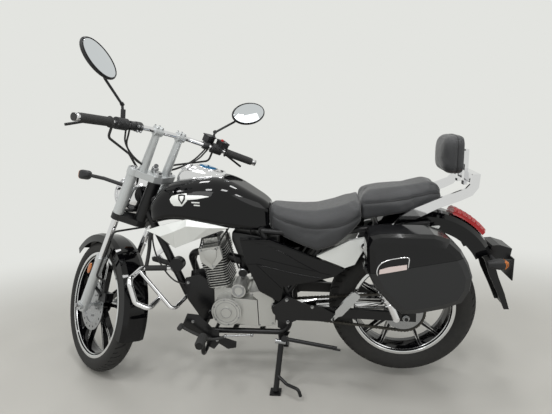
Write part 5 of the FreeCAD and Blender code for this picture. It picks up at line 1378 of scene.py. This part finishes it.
def directly_seen(tree):
    """1 where the camera sees a thing straight, in a mirror or through glass, 0 where it only lights."""
    path = add(tree, "ShaderNodeLightPath")
    seen = add(tree, "ShaderNodeMath", {0: path.outputs["Is Camera Ray"], 1: path.outputs["Is Glossy Ray"]},
               operation="MAXIMUM")
    shown = add(tree, "ShaderNodeMath", {0: seen.outputs["Value"], 1: path.outputs["Is Transmission Ray"]},
                operation="MAXIMUM")
    return shown.outputs["Value"]


class MOTORCYCLE_OT_stage(bpy.types.Operator):
    """Pale floor, soft light and the camera"""
    bl_idname = "motorcycle.stage"
    bl_label = "Stage"

    def execute(self, context):
        scene = context.scene
        sizes = scene.motorcycle_sizes
        scene.view_settings.view_transform = "Standard"
        # Camera, from its place, its yaw off -Y, its pitch down and its roll
        eye = Vector((-0.24401, 1.69037, 1.18333))
        yaw, pitch, roll = 0.1332694, 0.2405718, -0.0527564
        level = Vector((math.sin(yaw), -math.cos(yaw), 0))
        side = Vector((-math.cos(yaw), -math.sin(yaw), 0))
        look = level * math.cos(pitch) - UP * math.sin(pitch)
        up = level * math.sin(pitch) + UP * math.cos(pitch)
        right = side * math.cos(roll) + up * math.sin(roll)
        top = up * math.cos(roll) - side * math.sin(roll)
        camera = bpy.data.objects.new("photo_camera", bpy.data.cameras.new("photo_camera"))
        camera.data.lens = sizes.lens_mm
        camera.data.sensor_width = 36
        camera.data.clip_end = 200
        camera.matrix_world = Matrix.Translation(eye) @ Matrix((right, top, -look)).transposed().to_4x4()
        scene.collection.objects.link(camera)
        scene.camera = camera
        # Floor: pale tile near the machine, which fades into the room's own tone
        room = scene.motorcycle_colours.room
        bm = bmesh.new()
        bmesh.ops.create_grid(bm, x_segments=1, y_segments=1, size=sizes.floor_width / 2)
        floor = bpy.data.objects.new("studio_floor", bpy.data.meshes.new("studio_floor"))
        bm.to_mesh(floor.data)
        bm.free()
        scene.collection.objects.link(floor)
        ground, tree, shader, place = fresh("pale floor", "B5B3AE", 0, 0.3)
        noise = add(tree, "ShaderNodeTexNoise", {"Vector": place, "Scale": 3.0, "Detail": 5.0})
        tint = add(tree, "ShaderNodeMix", {"Factor": noise.outputs["Fac"], 6: linear("AFADA8"),
                                           7: linear("B9B7B2")}, data_type="RGBA")
        tree.links.new(tint.outputs[2], shader.inputs["Base Color"])
        centred = add(tree, "ShaderNodeMapping", {"Vector": place, "Scale": (0.55, 1.0, 1.0)})
        far = add(tree, "ShaderNodeVectorMath", {0: centred.outputs["Vector"]}, operation="LENGTH")
        fade = add(tree, "ShaderNodeMapRange", {"Value": far.outputs["Value"], "From Min": 0.8,
                                                "From Max": 1.9}, interpolation_type="SMOOTHSTEP")
        share = add(tree, "ShaderNodeMath", {0: fade.outputs["Result"], 1: directly_seen(tree)},
                    operation="MULTIPLY")
        glow = add(tree, "ShaderNodeEmission", {"Color": linear(room), "Strength": 1.0})
        blend = add(tree, "ShaderNodeMixShader", {0: share.outputs["Value"], 1: shader.outputs["BSDF"],
                                                  2: glow.outputs["Emission"]})
        tree.links.new(blend.outputs["Shader"], tree.nodes["Material Output"].inputs["Surface"])
        floor.data.materials.append(ground)
        # World: a plain pale room, dimmer as a light than as a background
        world = bpy.data.worlds.new("pale room")
        world.use_nodes = True
        scene.world = world
        tree = world.node_tree
        back = tree.nodes["Background"]
        back.inputs["Color"].default_value = linear(room)
        strength = add(tree, "ShaderNodeMapRange", {"Value": directly_seen(tree), "To Min": 0.72,
                                                    "To Max": 1.0})
        tree.links.new(strength.outputs["Result"], back.inputs["Strength"])
        # Lamps: name, place, aim, size and share of the key's power
        lamps = [("key_panel", (1.0, 2.6, 2.9), (0, 0, 0.5), 1.6, 0.4),
                 ("fill_panel", (-2.6, 1.6, 2.4), (-0.2, 0, 0.5), 2.0, 0.25)]
        ceiling = ((1.7, 0.9), (0.5, 1.3), (-0.6, 1.0), (-1.7, 1.2), (0.9, -0.8), (-0.8, -0.7))
        for i, (x, y) in enumerate(ceiling):
            lamps.append(("ceiling_panel_%d" % i, (x, y, 3.0), (x, y, 0), 0.42, 0.2))
        for name, spot, aim, size, share in lamps:
            lamp = bpy.data.objects.new(name, bpy.data.lights.new(name, "AREA"))
            lamp.data.size = size
            lamp.data.energy = sizes.key_power * share
            lamp.location = spot
            lamp.rotation_euler = (Vector(aim) - Vector(spot)).to_track_quat("-Z", "Y").to_euler()
            scene.collection.objects.link(lamp)
        return {"FINISHED"}


CLASSES = (
    MotorcycleSizes, MotorcycleColours, MOTORCYCLE_OT_stage, MOTORCYCLE_OT_finishes, MOTORCYCLE_OT_seats,
    MOTORCYCLE_OT_tyres, MOTORCYCLE_OT_wheel_faces, MOTORCYCLE_OT_chain, MOTORCYCLE_OT_lenses,
    MOTORCYCLE_OT_trims, MOTORCYCLE_OT_inner_pieces, MOTORCYCLE_OT_engine_details, MOTORCYCLE_OT_controls,
)


class MOTORCYCLE_PT_panel(bpy.types.Panel):
    """Lists the motorcycle's operators"""
    bl_idname = "MOTORCYCLE_PT_panel"
    bl_label = "Motorcycle"
    bl_space_type = "VIEW_3D"
    bl_region_type = "UI"
    bl_category = "Motorcycle"

    def draw(self, context):
        for item in CLASSES[2:]:
            self.layout.operator(item.bl_idname)


def register():
    for item in CLASSES + (MOTORCYCLE_PT_panel,):
        bpy.utils.register_class(item)
    bpy.types.Scene.motorcycle_sizes = bpy.props.PointerProperty(type=MotorcycleSizes)
    bpy.types.Scene.motorcycle_colours = bpy.props.PointerProperty(type=MotorcycleColours)


def unregister():
    del bpy.types.Scene.motorcycle_colours
    del bpy.types.Scene.motorcycle_sizes
    for item in reversed(CLASSES + (MOTORCYCLE_PT_panel,)):
        bpy.utils.unregister_class(item)


def main():
    register()
    for item in CLASSES[2:]:
        getattr(bpy.ops.motorcycle, item.bl_idname.split(".")[1])()


if __name__ == "__main__":
    main()
